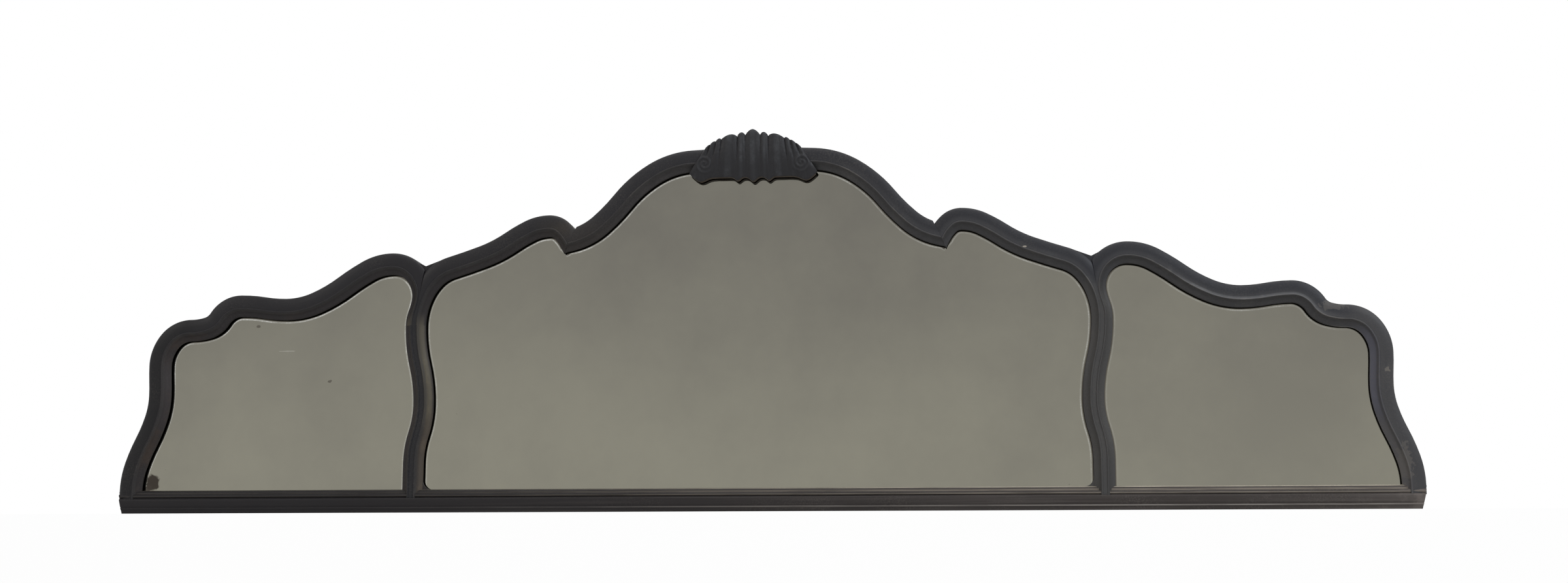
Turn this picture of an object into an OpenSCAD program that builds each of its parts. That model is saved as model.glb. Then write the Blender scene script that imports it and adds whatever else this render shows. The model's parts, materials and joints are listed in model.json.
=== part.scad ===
// Overmantel mirror in three plates: serpentine moulded timber frame with a carved shell crest.
// Millimetres. X runs along the mantel shelf, the front faces -Y and Z is up.
// The origin is the middle of the base rail's underside.
// The frame follows lines of stations [x, height, heading]. A heading is the way the line runs, in
// degrees from +X towards +Z, and each pair of stations is joined by two arcs that meet smoothly.

/* [Base rail] */
// Length of the base rail along its top edge
base_w = 1256; // [1100:1:1500]
// Height of the base rail up to the mirrors' sight line
base_h = 24.4; // [20:0.5:34]
// How far each end of the base rail is cut back at its foot
base_end_rake = 6.5; // [0:0.5:12]
// How far the base rail stands forward of the frame's ridge
base_nosing = 1.9; // [1:0.1:4]

/* [Moulding] */
// Width of the moulded rails and stiles on their face
rail_w = 21.2; // [18:0.5:26]
// Width of the mullions on their face
mull_w = 20; // [19:0.5:26]
// Depth of the frame from its ridge to its back
frame_d = 22; // [20:0.5:32]
// Width of the coved slope beside the mirrors
cove_w = 6.2; // [4:0.1:7]
// Depth of the coved slope
cove_d = 6.8; // [4:0.1:8]
// Width of the bead along the ridge
bead_w = 1.6; // [1:0.1:2.4]
// Height of the bead above the outer band
bead_h = 0.8; // [0.4:0.1:1.5]
// How far the outer band falls towards the outside of the frame
band_drop = 4; // [2:0.1:6]

/* [Rebate] */
// Width of the rebate that the mirrors lie in
rebate_w = 5; // [4:0.1:6]
// Thickness of the lip in front of the mirrors
lip_t = 2.7; // [2:0.1:4]
// Extra width of the rebate for the backboards
board_step = 1.5; // [1:0.1:2]
// How deep the backboards lie below the back of the frame
board_recess = 2; // [1.5:0.1:4]

/* [Wing line] */
// Foot of the end stile: in from the end of the base rail, heading
foot = [11, 90]; // [0:0.5:180]
// Ankle of the end stile: in from the end, height, heading
ankle = [24, 72, 116]; // [0:0.5:200]
// Waist of the end stile: in from the end, height, heading
waist = [36.2, 118, 90]; // [0:0.5:200]
// Hip of the end stile above the waist: in from the end, height, heading
hip = [35, 148, 90]; // [0:0.5:250]
// End of the shoulder corner: in from the end, height, heading
shoulder = [66, 183.2, 180]; // [0:0.5:300]
// Rise from the shoulder to the outer hump, and joint of stile and rail: in from the end, height, heading
rise = [94, 194.5, 122]; // [0:0.5:300]
// Top of the outer hump: in from the end, height, heading
hump = [116, 207, 180]; // [0:0.5:300]
// Bottom of the dip in the wing: in from the end, height, heading
dip = [162, 203, 180]; // [0:0.5:300]
// Slope up to the wing arch: out from the mullion's head, height, heading
slope = [73, 225.5, 143.5]; // [0:0.5:300]
// Top of the wing arch: out from the mullion's head, height, heading
wing_top = [24.5, 247, 180]; // [0:0.5:300]

/* [Mullion] */
// Half the distance between the heads of the mullions
mull_x = 334.5; // [300:1:380]
// Height at which the mullion parts into its two arms
head_z = 185; // [175:1:195]
// Lower bulge of the mullion: inward of the head, height, heading
mull_low = [1.2, 50, 90]; // [0:0.5:200]
// Waist of the mullion: inward of the head, height, heading
mull_waist = [9.8, 107, 90]; // [0:0.5:200]
// Bend of the mullion's outer arm: inward of the head, height, heading
outer_bend = [5.6, 208, 281]; // [0:0.5:300]
// Bend of the mullion's inner arm: inward of the head, height, heading
inner_bend = [5.3, 214, 113]; // [0:0.5:300]
// Valley between the mullion's arms: inward of the head, height
valley = [9, 244.2]; // [0:0.5:300]
// Radius of the web at the inner foot of the mullion
foot_web_r = 9; // [5:0.5:14]

/* [Centre line] */
// End of the mullion's inner arm: x, height, heading
arm_end = [300, 242.5, 163]; // [0:0.5:400]
// Slope up to the shoulder arch: x, height, heading
inner_slope = [240, 267.5, 146]; // [0:0.5:400]
// Top of the shoulder arch: x, height, heading
inner_top = [202, 282.5, 180]; // [0:0.5:400]
// Last turn before the notch: x, height, heading
notch_in = [181.5, 266.5, 243]; // [0:0.5:400]
// Valley of the notch on the outline: x, height
notch_valley = [174.5, 281]; // [0:0.5:400]
// Point of the notch on the sight line: x, height
notch_hook = [186, 257]; // [0:0.5:400]
// Start of the crest arch at the notch: x, height, heading
arch_start = [179, 268.5, 166]; // [0:0.5:400]
// Steepest place of the crest arch: x, height, heading
arch_slope = [129.5, 305.8, 129]; // [0:0.5:400]
// Shoulder of the crest arch: x, height, heading
arch_shoulder = [60, 344.8, 177]; // [0:0.5:400]
// Height of the crest arch's middle line at the centre
arch_z = 346; // [335:0.5:360]

/* [Crest] */
// Half the width of the crest at its lower corners
crest_low_w = 63; // [55:0.5:75]
// Depth of the crest's lower edge below the arch rail's sight edge
crest_drop = 8; // [4:0.1:14]
// Rise of the crest's lower corners over its lower edge
crest_corner_rise = 4.5; // [0:0.1:9]
// Depth below the frame's outline at which the crest leaves it
crest_side_drop = 0.8; // [0.4:0.1:4]
// Rise of the crest's middle over the frame's outline
crest_rise = 16.8; // [8:0.2:30]
// How far the middle lobe stands over the lobes beside it
crest_peak = 3; // [0:0.1:5]
// Widths of the shell's lobes along its top edge, from half of the middle one outwards
lobe_w = [7.3, 8, 15.7, 5.6, 5.6, 4.8]; // [3:0.1:20]
// Height of the ribs over the flutes
rib_h = 1.9; // [0.5:0.1:3]
// Depth of the scallops beside the crest's middle lobe
scallop = 4; // [0.5:0.1:7]
// Depth of the three points below the crest's lower edge
tip_drop = 4.4; // [1:0.1:7]
// Drop of the curls at the crest's lower corners
curl_drop = 4; // [0:0.1:6]
// How far the crest's middle swells forward of its edge
crest_swell = 3; // [1:0.1:6]
// How far the crest's edge stands forward of the ridge
crest_edge = 1; // [0.5:0.1:3]
// How deep the crest is let into the face of the arch rail
crest_let_in = 5; // [3:0.5:8]
// Share of the crest's thickness that is carved away along its foot
crest_foot_taper = 0.6; // [0:0.05:0.7]
// Radius of the scroll at each lower corner
scroll_r = 7.5; // [4:0.1:10]

/* [Mirrors and backs] */
// Thickness of the mirror plates
glass_t = 4; // [3:0.5:5]
// Gap between a mirror plate and the rebate's wall
glass_gap = 1; // [0.5:0.1:1.5]
// Gap under each plate and backboard
seat_gap = 0.2; // [0.1:0.05:0.3]
// Thickness of the backboards
board_t = 3; // [2.5:0.5:5]
// Gap round a backboard
board_gap = 0.5; // [0.3:0.1:1]
// Length of the glass blocks
block_l = 20; // [12:1:40]
// Width of the glass blocks
block_w = 4.5; // [3:0.1:6]
// Radius of the pins that hold the backboards
pin_r = 0.6; // [0.5:0.05:0.8]
// Length of the pins that hold the backboards
pin_l = 10.5; // [8:0.5:12]
// Depth that the pins are driven into the frame
pin_drive = 4.4; // [3:0.1:4.6]

/* [Joints] */
// Radius of the large dowels between the stiles, the mullions and the base rail
dowel_r = 2.8; // [2:0.1:3]
// Length of the large dowels
dowel_l = 30; // [20:1:34]
// Radius of the dowels between the rails
rail_dowel_r = 2.4; // [1.5:0.1:2.5]
// Length of the dowels between the rails
rail_dowel_l = 22; // [16:1:26]
// Radius of the small dowels at the notches and behind the crest
small_dowel_r = 1.7; // [1.2:0.1:1.8]
// Length of the dowels at the notches
notch_dowel_l = 18; // [12:1:20]
// Length of the dowels behind the crest
crest_dowel_l = 9; // [6:0.5:10]
// Distance of the crest's dowels from the middle
crest_dowel_x = 26; // [10:1:35]
// Clearance round each dowel, pin and screw
bore_gap = 0.05; // [0.02:0.01:0.1]

/* [Hangers] */
// Distance of each hanger from the mullion's head, inward
hanger_in = 5.5; // [2:0.5:8]
// Height of the top of each hanger strap
hanger_z = 236; // [230:0.5:238]
// Width of the hanger strap
strap_w = 10; // [8:0.5:12]
// Length of the hanger strap
strap_l = 27; // [24:0.5:32]
// Thickness of the hanger strap
strap_t = 1; // [0.8:0.1:1.2]
// Outer radius of the strap's rolled eye
eye_r = 2.6; // [2.4:0.1:3.2]
// Radius of the ring's wire
wire_r = 1.25; // [1:0.05:1.3]
// Radius of the ring to the middle of its wire
ring_r = 10; // [9:0.5:12]
// Radius of the hanger screws' shanks
screw_r = 1.5; // [1:0.1:1.6]
// Radius of the hanger screws' heads
screw_head_r = 2.8; // [2.4:0.1:3.2]
// Length of the hanger screws
screw_l = 12; // [8:0.5:16]
// Distance between the two hanger screws
screw_pitch = 10; // [8:0.5:12]

/* [Hidden] */
$fn = 96;

wood = "#2e2a2b";
mirror_tone = "#8c8c80";
board_wood = "#9a7448";
pale_wood = "#c0a070";
steel = "#8b8b90";
brass = "#a98943";

far = 2000;              // larger than the whole mirror
run_out = 12;            // straight run of a rail past its last station, before it is cut
band_points = 5;         // points along the rounded outer band
cove_points = 4;         // points along the cove
arc_sag = 0.08;          // largest distance between a rail's outer arc and its facets
ring_clear = 0.35;       // room between the hanging ring and its strap

// Depths, from the ridge at the front to the back
ridge_y = -frame_d / 2;
back_y = frame_d / 2;
band_y = ridge_y + bead_h;
edge_y = band_y + band_drop;
lip_y = ridge_y + cove_d;
glass_y = lip_y + lip_t;
board_y = back_y - board_recess - board_t;
seat_y = ridge_y + crest_let_in;
dowel_y = (glass_y + board_y) / 2;
small_dowel_y = ridge_y + 5.5;
pin_y = board_y + board_t + pin_r + 0.05;

half_rail = rail_w / 2;
crest_low_z = arch_z - half_rail - crest_drop;
crest_side_z = arch_z + half_rail - crest_side_drop;
crest_top_z = arch_z + half_rail + crest_rise;
function sum(list, n) = n == 0 ? 0 : list[n - 1] + sum(list, n - 1);
crest_top_w = sum(lobe_w, len(lobe_w));          // half the crest's width where it leaves the outline
half_mull = mull_w / 2;
wall_in = half_rail - rebate_w - board_step;     // the deepest wall of a rail's rebate
base_end = base_w / 2;
floor_z = base_h - rebate_w;                     // the floor that the mirror plates stand on
board_floor_z = floor_z - board_step;
quirk_z = base_h - cove_w - bead_w - 0.6;        // where the base rail's band begins

// Stations of the lines, on the +X side
foot_at = [base_end - foot[0], base_h, foot[1]];
wing_outer = [foot_at,
    for (s = [ankle, waist, hip, shoulder, rise, hump, dip]) [base_end - s[0], s[1], s[2]]];
wing_inner = [for (s = [slope, wing_top]) [mull_x + s[0], s[1], s[2]]];
wing_arm = [[mull_x - outer_bend[0], outer_bend[1], outer_bend[2]],
    [mull_x + half_mull - half_rail, head_z, 270]];
wing_line = concat(wing_outer, wing_inner, wing_arm);
joint_at = 5;                                    // the station where stile and wing rail meet
arm_at = 9;                                      // the station where wing rail and mullion meet
wing_last = len(wing_line) - 1;
inner_arm = [[mull_x - half_mull + half_rail, head_z, 90],
    [mull_x - inner_bend[0], inner_bend[1], inner_bend[2]], arm_end];
arm_last = len(inner_arm) - 1;
shoulder_line = concat(inner_arm, [inner_slope, inner_top, notch_in]);
shoulder_last = len(shoulder_line) - 1;
arch_line = [arch_start, arch_slope, arch_shoulder, [0, arch_z, 180]];
mull_line = [[mull_x - mull_low[0], base_h, 90], [mull_x - mull_low[0], mull_low[1], mull_low[2]],
    [mull_x - mull_waist[0], mull_waist[1], mull_waist[2]], [mull_x, head_z, 90]];
valley_at = [mull_x - valley[0], valley[1]];

// ---------- Lines made of arcs: an arc is [centre, radius, start angle, turn], left turns positive,
// and a straight piece is [start, 0, heading, length]
function dir(a) = [cos(a), sin(a)];
function left_of(v) = [-v[1], v[0]];
function at(s) = [s[0], s[1]];
function angle_of(v) = atan2(v[1], v[0]);
function turn(d, r) = r > 0 ? (d < 0 ? d + 360 : d) : (d > 0 ? d - 360 : d);
function arc_from(p, t, q) =
    let (w = q - p, side = left_of(t) * w)
        abs(side) < 0.001 * norm(w) ? [p, 0, angle_of(w), norm(w)] :
            let (r = (w * w) / (2 * side), c = p + left_of(t) * r)
                [c, r, angle_of(p - c), turn(angle_of(q - c) - angle_of(p - c), r)];
function back_along(a) = a[1] == 0 ? [a[0] + a[3] * dir(a[2]), 0, a[2] + 180, a[3]] :
    [a[0], -a[1], a[2] + a[3], -a[3]];
function biarc(s, e) =
    let (p = at(s), q = at(e), t = dir(s[2]), u = dir(e[2]), v = q - p, k = 2 * (1 - t * u))
    let (vt = v * (t + u), vv = v * v)
    let (d = abs(k) < 0.000001 ? vv / (4 * (v * u)) : (sqrt(vt * vt + k * vv) - vt) / k)
    let (m = (p + q + d * (t - u)) / 2)
        [arc_from(p, t, m), back_along(arc_from(q, -u, m))];
function arcs(line, first, last) = [for (i = [first:last - 1]) each biarc(line[i], line[i + 1])];
function all_arcs(line) = arcs(line, 0, len(line) - 1);

// A line's stops [point, heading], close enough that straight pieces follow its arcs
function arc_steps(a) = a[1] == 0 ? 1 :
    max(1, ceil(abs(a[3]) * PI / 180 * sqrt((abs(a[1]) + half_rail) / (8 * arc_sag))));
function arc_stop(a, f) =
    a[1] == 0 ? [a[0] + a[3] * f * dir(a[2]), a[2]] :
        [a[0] + abs(a[1]) * dir(a[2] + a[3] * f), a[2] + a[3] * f + sign(a[1]) * 90];
function stops(list) =
    [for (k = [0:len(list) - 1]) let (n = arc_steps(list[k]))
        for (i = [(k == 0 ? 0 : 1):n]) arc_stop(list[k], i / n)];
function stop_before(stop, run) = [stop[0] - run * dir(stop[1]), stop[1]];
function stop_after(stop, run) = [stop[0] + run * dir(stop[1]), stop[1]];
function points_beside(stop_list, off) = [for (p = stop_list) p[0] + off * left_of(dir(p[1]))];
function line_points(list, off) = points_beside(stops(list), off);
function reversed(list) = [for (i = [len(list) - 1:-1:0]) list[i]];
function mirrored(list) = [for (p = list) [-p[0], p[1]]];
function side_of(p, a, b) = left_of(b - a) * (p - a);
function beside(s, off) = at(s) + off * left_of(dir(s[2]));

// The points of a path to one side of the line from a to b, ended exactly on that line
function clipped(points, a, b, keep) =
    [for (i = [0:len(points) - 1]) let (s = keep * side_of(points[i], a, b) / norm(b - a))
        let (before = i == 0 ? s : keep * side_of(points[i - 1], a, b) / norm(b - a))
            each concat(s * before < 0 ? [points[i - 1] + (points[i] - points[i - 1]) * before / (before - s)] : [],
                s > 0.2 ? [points[i]] : [])];

// ---------- Profiles: [off to the left of the line, depth], the sight edge on the left
band_w = rail_w - cove_w - bead_w;
function band(off, width, points) =
    [for (i = [0:points - 1]) let (f = i / (points - 1))
        [off + width * f, edge_y - band_drop * sqrt(1 - pow(1 - f, 2))]];
function cove(off) =
    [for (i = [0:cove_points - 1]) let (a = 90 * i / (cove_points - 1))
        [off - cove_w * cos(a), ridge_y + cove_d * sin(a)]];
function bead_and_cove(off) = concat([[off - cove_w - bead_w + 0.2, ridge_y]], cove(off));
function rebate(off) = [[off, glass_y], [off - rebate_w, glass_y], [off - rebate_w, board_y],
    [off - rebate_w - board_step, board_y], [off - rebate_w - board_step, back_y]];
rail_profile = concat([[-half_rail, back_y]], band(-half_rail, band_w, band_points),
    bead_and_cove(half_rail), rebate(half_rail));
half_mull_profile = concat([[half_mull - cove_w - bead_w, band_y]], bead_and_cove(half_mull),
    rebate(half_mull));
mull_profile = concat(half_mull_profile, reversed(mirrored(half_mull_profile)));

// The base rail's profile: [depth, height], its coved and reeded top edge, its band and its bead
reed = (cove_d - 0.8) / 2;
base_band_y = ridge_y - base_nosing / 2;
base_profile = [[back_y, 0], [back_y, board_floor_z], [board_y, board_floor_z], [board_y, floor_z],
    [glass_y, floor_z], [glass_y, base_h], [lip_y, base_h],
    [lip_y - reed * 0.6, base_h - 0.7], [lip_y - reed, base_h - 2.2], [lip_y - reed, base_h - 3.4],
    [lip_y - reed * 1.7, base_h - 4], [lip_y - reed * 2, base_h - 5.4],
    [lip_y - reed * 2, base_h - 6.8], [ridge_y + 1.8, quirk_z + 0.9], [ridge_y + 1.8, quirk_z + 0.3],
    [base_band_y + 0.8, quirk_z], [base_band_y, quirk_z - 1], [base_band_y - 0.4, 11],
    [base_band_y - 0.5, 8.4], [base_band_y - 0.2, 6.4],
    [ridge_y - base_nosing, 5.8], [ridge_y - base_nosing, 4.4], [base_band_y - 0.2, 3.9],
    [base_band_y - 0.2, 0]];

// Each profile's ends as fans, each seen in full from its first point
rebate_at = band_points + cove_points + 3;
rail_ends = [[for (i = [0:rebate_at + 2]) (rebate_at + i) % (rebate_at + 3)],
    [rebate_at + 2, rebate_at + 3, 0]];
mull_rebate_at = cove_points + 3;
mull_last = len(mull_profile) - 1;
mull_ends = [[mull_rebate_at, for (i = [0:mull_rebate_at - 1]) i],
    [for (i = [mull_last - mull_rebate_at:mull_last]) i],
    [for (i = [2:5]) mull_rebate_at + i],
    [for (i = [0:2]) mull_rebate_at + i, for (i = [2:-1:0]) mull_last - mull_rebate_at - i, mull_last, 0]];

// ---------- Solids along the lines
module swept(stop_list, profile, ends) {
    n = len(profile);
    k = len(stop_list);
    points = [for (stop = stop_list) for (p = profile)
        let (q = stop[0] + p[0] * left_of(dir(stop[1]))) [q[0], p[1], q[1]]];
    sides = [for (i = [0:k - 2]) for (j = [0:n - 1])
        let (a = i * n + j, b = i * n + (j + 1) % n) each [[a, b, a + n], [b, b + n, a + n]]];
    first_end = [for (f = ends) [f[0], for (i = [len(f) - 1:-1:1]) f[i]]];
    last_end = [for (f = ends) [for (i = f) (k - 1) * n + i]];
    polyhedron(points, concat(sides, first_end, last_end));
}

// Everything to the left of the line from a to b, or to its right
module one_side(a, b, left) {
    translate([a[0], 0, a[1]])
        rotate([0, -angle_of(b - a), 0])
            translate([-far, -far, left ? 0 : -far])
                cube([2 * far, 2 * far, far]);
}

// A plate of the given outline in the plane of the frame
module plate(points, y, thick) {
    translate([0, y + thick, 0])
        rotate([90, 0, 0])
            linear_extrude(height = thick)
                polygon(points);
}

// A round peg about a point of the face, along a heading
module peg(p, heading, y, r, before, after) {
    translate([p[0], y, p[1]])
        rotate([0, 90 - heading, 0])
            translate([0, 0, -before])
                cylinder(r = r, h = before + after);
}

module both_sides() {
    children();
    mirror([1, 0, 0])
        children();
}

module base_prism(half) {
    translate([-half, 0, 0])
        rotate([90, 0, 90])
            linear_extrude(height = 2 * half)
                polygon(base_profile);
}

// ---------- The stops of the rails, with the straight runs that are cut away at a foot or a notch
foot_run = base_h - quirk_z;
stile_arcs = stops(arcs(wing_line, 0, joint_at));
stile_stops = concat([stop_before(stile_arcs[0], foot_run)], stile_arcs);
mull_arcs = stops(all_arcs(mull_line));
mull_stops = concat([stop_before(mull_arcs[0], foot_run)], mull_arcs);
wing_arm_stops = stops(arcs(wing_line, arm_at, wing_last));
inner_arm_stops = stops(arcs(shoulder_line, 0, arm_last));
shoulder_arcs = stops(arcs(shoulder_line, arm_last, shoulder_last));
shoulder_stops = concat(shoulder_arcs, [stop_after(shoulder_arcs[len(shoulder_arcs) - 1], run_out)]);
arch_arcs = stops(all_arcs(arch_line));
half_arch_stops = concat([stop_before(arch_arcs[0], run_out)], arch_arcs);
arch_stops = concat(half_arch_stops,
    [for (i = [len(half_arch_stops) - 2:-1:0]) let (p = half_arch_stops[i]) [[-p[0][0], p[0][1]], -p[1]]]);

// The web that fills the valley between the arms, out to where the wing's arch starts to fall
web_stop = round(len(wing_arm_stops) / 6);
valley_web = [[mull_x - inner_bend[0], inner_bend[1]], points_beside(wing_arm_stops, -half_rail)[web_stop],
    valley_at, beside(arm_end, -half_rail)];
// The web in the corner between the mullion's inner foot and the base rail
foot_web_x = mull_line[0][0] - half_mull;
foot_web = concat([[foot_web_x + 2, base_h - 2], [foot_web_x + 2, base_h + foot_web_r]],
    [for (a = [0:15:90]) [foot_web_x - foot_web_r * (1 - cos(a)), base_h + foot_web_r * (1 - sin(a))]],
    [[foot_web_x - foot_web_r, base_h - 2]]);

// ---------- Dowels, pins and blocks, on the +X side: each list serves the piece and its bores
stile_dowel = [foot_at[0] + 3, base_h];
mull_dowel = [mull_line[0][0], base_h];
base_dowels = [stile_dowel, mull_dowel];
rail_dowel_off = (wall_in - half_rail) / 2;
rail_dowels = [
    [beside(wing_line[joint_at], rail_dowel_off), wing_line[joint_at][2]],
    [beside(wing_line[arm_at], rail_dowel_off), wing_line[arm_at][2]],
    [beside(arm_end, rail_dowel_off), arm_end[2]]];
notch_dowel = [notch_valley + 0.45 * (notch_hook - notch_valley),
    angle_of(left_of(notch_hook - notch_valley))];

module base_dowel_set(gap) {
    for (p = base_dowels)
        peg(p, 90, dowel_y, dowel_r + gap, dowel_l / 2 + gap, dowel_l / 2 + gap);
}

module rail_dowel_set(gap) {
    for (d = rail_dowels)
        peg(d[0], d[1], dowel_y, rail_dowel_r + gap, rail_dowel_l / 2 + gap, rail_dowel_l / 2 + gap);
}

module notch_dowel_peg(gap) {
    peg(notch_dowel[0], notch_dowel[1], small_dowel_y, small_dowel_r + gap,
        notch_dowel_l / 2 + gap, notch_dowel_l / 2 + gap);
}

module crest_dowel_set(gap) {
    for (x = [-crest_dowel_x, crest_dowel_x])
        translate([x, seat_y - crest_dowel_l / 2 - gap, arch_z])
            rotate([-90, 0, 0])
                cylinder(r = small_dowel_r + gap, h = crest_dowel_l + 2 * gap);
}

// A place on the sill, as a share of the way from the mullion to the stile or from the middle to the mullion
function wing_sill(share) = [mull_x + (foot_at[0] - mull_x) * share, base_h];
function centre_sill(share) = [mull_x * share, base_h];

// A pin stands at each [sight edge point, heading from the mirror into the wood]
wing_pins = [
    for (share = [0.18, 0.5, 0.82]) [wing_sill(share), 270],
    [beside(wing_line[2], half_rail), 0], [beside(wing_line[6], half_rail), 90],
    [beside(wing_line[7], half_rail), 90], [beside(wing_line[9], half_rail), 90],
    [beside(mull_line[1], -half_mull), 180]];
centre_pins = [
    for (share = [0.12, 0.4, 0.72]) [centre_sill(share), 270],
    [beside(mull_line[2], half_mull), 0], [beside(inner_top, half_rail), 90],
    [[crest_top_w / 2, arch_z - half_rail], 90]];

module pin_set(list, gap) {
    for (p = list)
        peg(p[0] + (rebate_w + board_step + pin_drive) * dir(p[1]), p[1] + 180, pin_y,
            pin_r + gap, gap, pin_l);
}

// A block lies in the rebate at each [sight edge point, heading into the wood]
wing_blocks = [
    for (share = [0.34, 0.66]) [wing_sill(share), 270],
    [beside(wing_line[2], half_rail), 0],
    [beside(wing_line[7], half_rail), 90], [beside(mull_line[2], -half_mull), 180]];
centre_blocks = [
    for (share = [0.25, 0.85]) [centre_sill(share), 270],
    [beside(mull_line[1], half_mull), 0],
    [beside(inner_slope, half_rail), inner_slope[2] - 90]];

module block_set(list) {
    for (b = list)
        translate([b[0][0], glass_y + glass_t, b[0][1]])
            rotate([0, -b[1], 0])
                translate([rebate_w - block_w - 0.8, 0, -block_l / 2])
                    cube([block_w, board_y - glass_y - glass_t, block_l]);
}

// ---------- Outlines of the mirror plates and backboards
// into is how far the outline reaches under the wood, bottom_z is its lower edge
function wing_outline(into, bottom_z) =
    let (edge = line_points(all_arcs(wing_line), half_rail - into))
    let (mull = line_points(all_arcs(mull_line), into - half_mull))
        concat([[edge[0][0], bottom_z]], edge, reversed(mull), [[mull[0][0], bottom_z]]);
function centre_half_outline(into, bottom_z) =
    let (mull = line_points(all_arcs(mull_line), half_mull - into))
    let (arm = points_beside(inner_arm_stops, half_rail - into))
    let (rail = points_beside(shoulder_stops, half_rail - into))
    let (arch = points_beside(half_arch_stops, half_rail - into))
        concat([[mull[0][0], bottom_z]], mull, [for (i = [1:len(arm) - 2]) arm[i]],
            clipped(rail, notch_valley, notch_hook, 1),
            [for (p = clipped(arch, notch_valley, notch_hook, -1)) if (p[0] > 0.01) p]);
function centre_outline(into, bottom_z) =
    let (half = centre_half_outline(into, bottom_z)) concat(half, reversed(mirrored(half)));

plate_into = rebate_w - glass_gap;
board_into = rebate_w + board_step - board_gap;

// ---------- Crest: a shell of lobes; columns run across it and rows from its foot to its top edge
crest_rows = 12;
// Each column is [place along the top edge, height of the rib there from 0 to 1]
half_columns = [for (k = [0:len(lobe_w) - 1])
    let (n = max(3, round(lobe_w[k] / 1.7)), from = sum(lobe_w, k))
        for (i = [(k == 0 ? 0 : 1):n])
            [from + lobe_w[k] * i / n, sin(k == 0 ? 90 + 90 * i / n : 180 * i / n)]];
columns = concat([for (i = [len(half_columns) - 1:-1:1]) [-half_columns[i][0], half_columns[i][1]]],
    half_columns);
crest_columns = len(columns) - 1;
function hill(d, w) = exp(-pow(d / w, 2));
function crest_low(c) =
    let (f = c[0] / crest_top_w, x = c[0] + (crest_low_w - crest_top_w) * pow(f, 3))
    let (corner = crest_corner_rise * pow(abs(f), 24), side = lobe_w[0] + lobe_w[1])
    let (tips = tip_drop * (hill(x, 4) + 0.8 * hill(abs(x) - side, 3.4)))
    let (curl = curl_drop * hill(abs(x) - crest_low_w + 11, 7))
        [x, crest_low_z + corner - tips - curl];
function crest_top(c) =
    let (f = abs(c[0]) / crest_top_w, depth = scallop * pow(max(0, 1 - f * f), 1.5))
    let (rise = (crest_top_z - crest_side_z - crest_peak) * (1 - pow(f, 2.8)) + crest_peak * hill(c[0], 7))
        [c[0], crest_side_z + rise - depth * (1 - pow(c[1], 0.6))];
function crest_xz(c, v) = crest_low(c) + v * (crest_top(c) - crest_low(c));
scroll_at = [crest_low_w - 15.5, crest_low_z + 12.5];
// Each scroll winds inwards from its foot, outwards and over; turn counts from the foot
function scroll_arm(d, turn) = hill(d - scroll_r * (1.1 - 0.55 * turn), 1.5);
function scroll_ridge(p) =
    let (d = norm(p - scroll_at), a = atan2(p[1] - scroll_at[1], p[0] - scroll_at[0]) + 90)
    let (turn = (a < 0 ? a + 360 : a) / 360)
        max(scroll_arm(d, turn), scroll_arm(d, turn + 1), scroll_arm(d, turn - 1) * max(0, turn * 2.5 - 1.5));
function crest_relief(c, v) =
    let (p = crest_xz(c, v), f = abs(c[0]) / crest_top_w, d = norm([abs(p[0]), p[1]] - scroll_at))
    let (inside = hill(d, scroll_r * 1.3))
        crest_edge + crest_swell * (1 - pow(f, 3)) * sin(30 + 120 * v)
        + rib_h * pow(c[1], 0.7) * (1 - inside) * min(1, 0.35 + 1.1 * v)
        + 1.4 * scroll_ridge([abs(p[0]), p[1]]);
function crest_front(i, j) =
    let (v = j / crest_rows, p = crest_xz(columns[i], v))
    let (thick = (crest_let_in + crest_relief(columns[i], v)) * (1 - crest_foot_taper * pow(1 - v, 4)))
        [p[0], seat_y - thick, p[1]];
crest_rim = concat([for (c = columns) crest_low(c)],
    [for (i = [crest_columns:-1:0]) crest_top(columns[i])]);

module crest_solid() {
    n = crest_columns + 1;
    rows = crest_rows + 1;
    front = [for (i = [0:crest_columns]) for (j = [0:crest_rows]) crest_front(i, j)];
    low_back = [for (c = columns) let (p = crest_low(c)) [p[0], seat_y, p[1]]];
    top_back = [for (c = columns) let (p = crest_top(c)) [p[0], seat_y, p[1]]];
    low = n * rows;
    top = low + n;
    face_tris = [for (i = [0:crest_columns - 1]) for (j = [0:crest_rows - 1])
        let (a = i * rows + j, b = a + rows) each [[a, a + 1, b], [b, a + 1, b + 1]]];
    back_tris = [for (i = [0:crest_columns - 1])
        each [[low + i, low + i + 1, top + i], [low + i + 1, top + i + 1, top + i]]];
    low_tris = [for (i = [0:crest_columns - 1]) let (a = i * rows, b = a + rows)
        each [[low + i, a, low + i + 1], [low + i + 1, a, b]]];
    top_tris = [for (i = [0:crest_columns - 1]) let (a = i * rows + crest_rows, b = a + rows)
        each [[top + i, top + i + 1, a], [top + i + 1, b, a]]];
    last = crest_columns * rows;
    start_tris = [for (j = [0:crest_rows - 1]) [low, j + 1, j]];
    end_tris = [for (j = [0:crest_rows - 1]) [low + n - 1, last + j, last + j + 1]];
    caps = [[low, top, crest_rows], [low + n - 1, last + crest_rows, top + n - 1]];
    polyhedron(concat(front, low_back, top_back),
        concat(face_tris, back_tris, low_tris, top_tris, start_tris, end_tris, caps));
}

// ---------- Hangers, on the +X side
hanger_x = mull_x - hanger_in;
ring_y = back_y + max(eye_r, strap_t + ring_clear + wire_r);
ring_z = hanger_z + eye_r;
low_screw_z = hanger_z - strap_l + 5.5;
screw_zs = [low_screw_z, low_screw_z + screw_pitch];

module hanger_screw_set(gap) {
    for (z = screw_zs)
        translate([hanger_x, back_y + strap_t, z])
            rotate([90, 0, 0]) {
                cylinder(r = screw_r + gap, h = screw_l + gap);
                cylinder(r1 = screw_head_r + gap, r2 = screw_r + gap, h = strap_t);
            }
}

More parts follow.
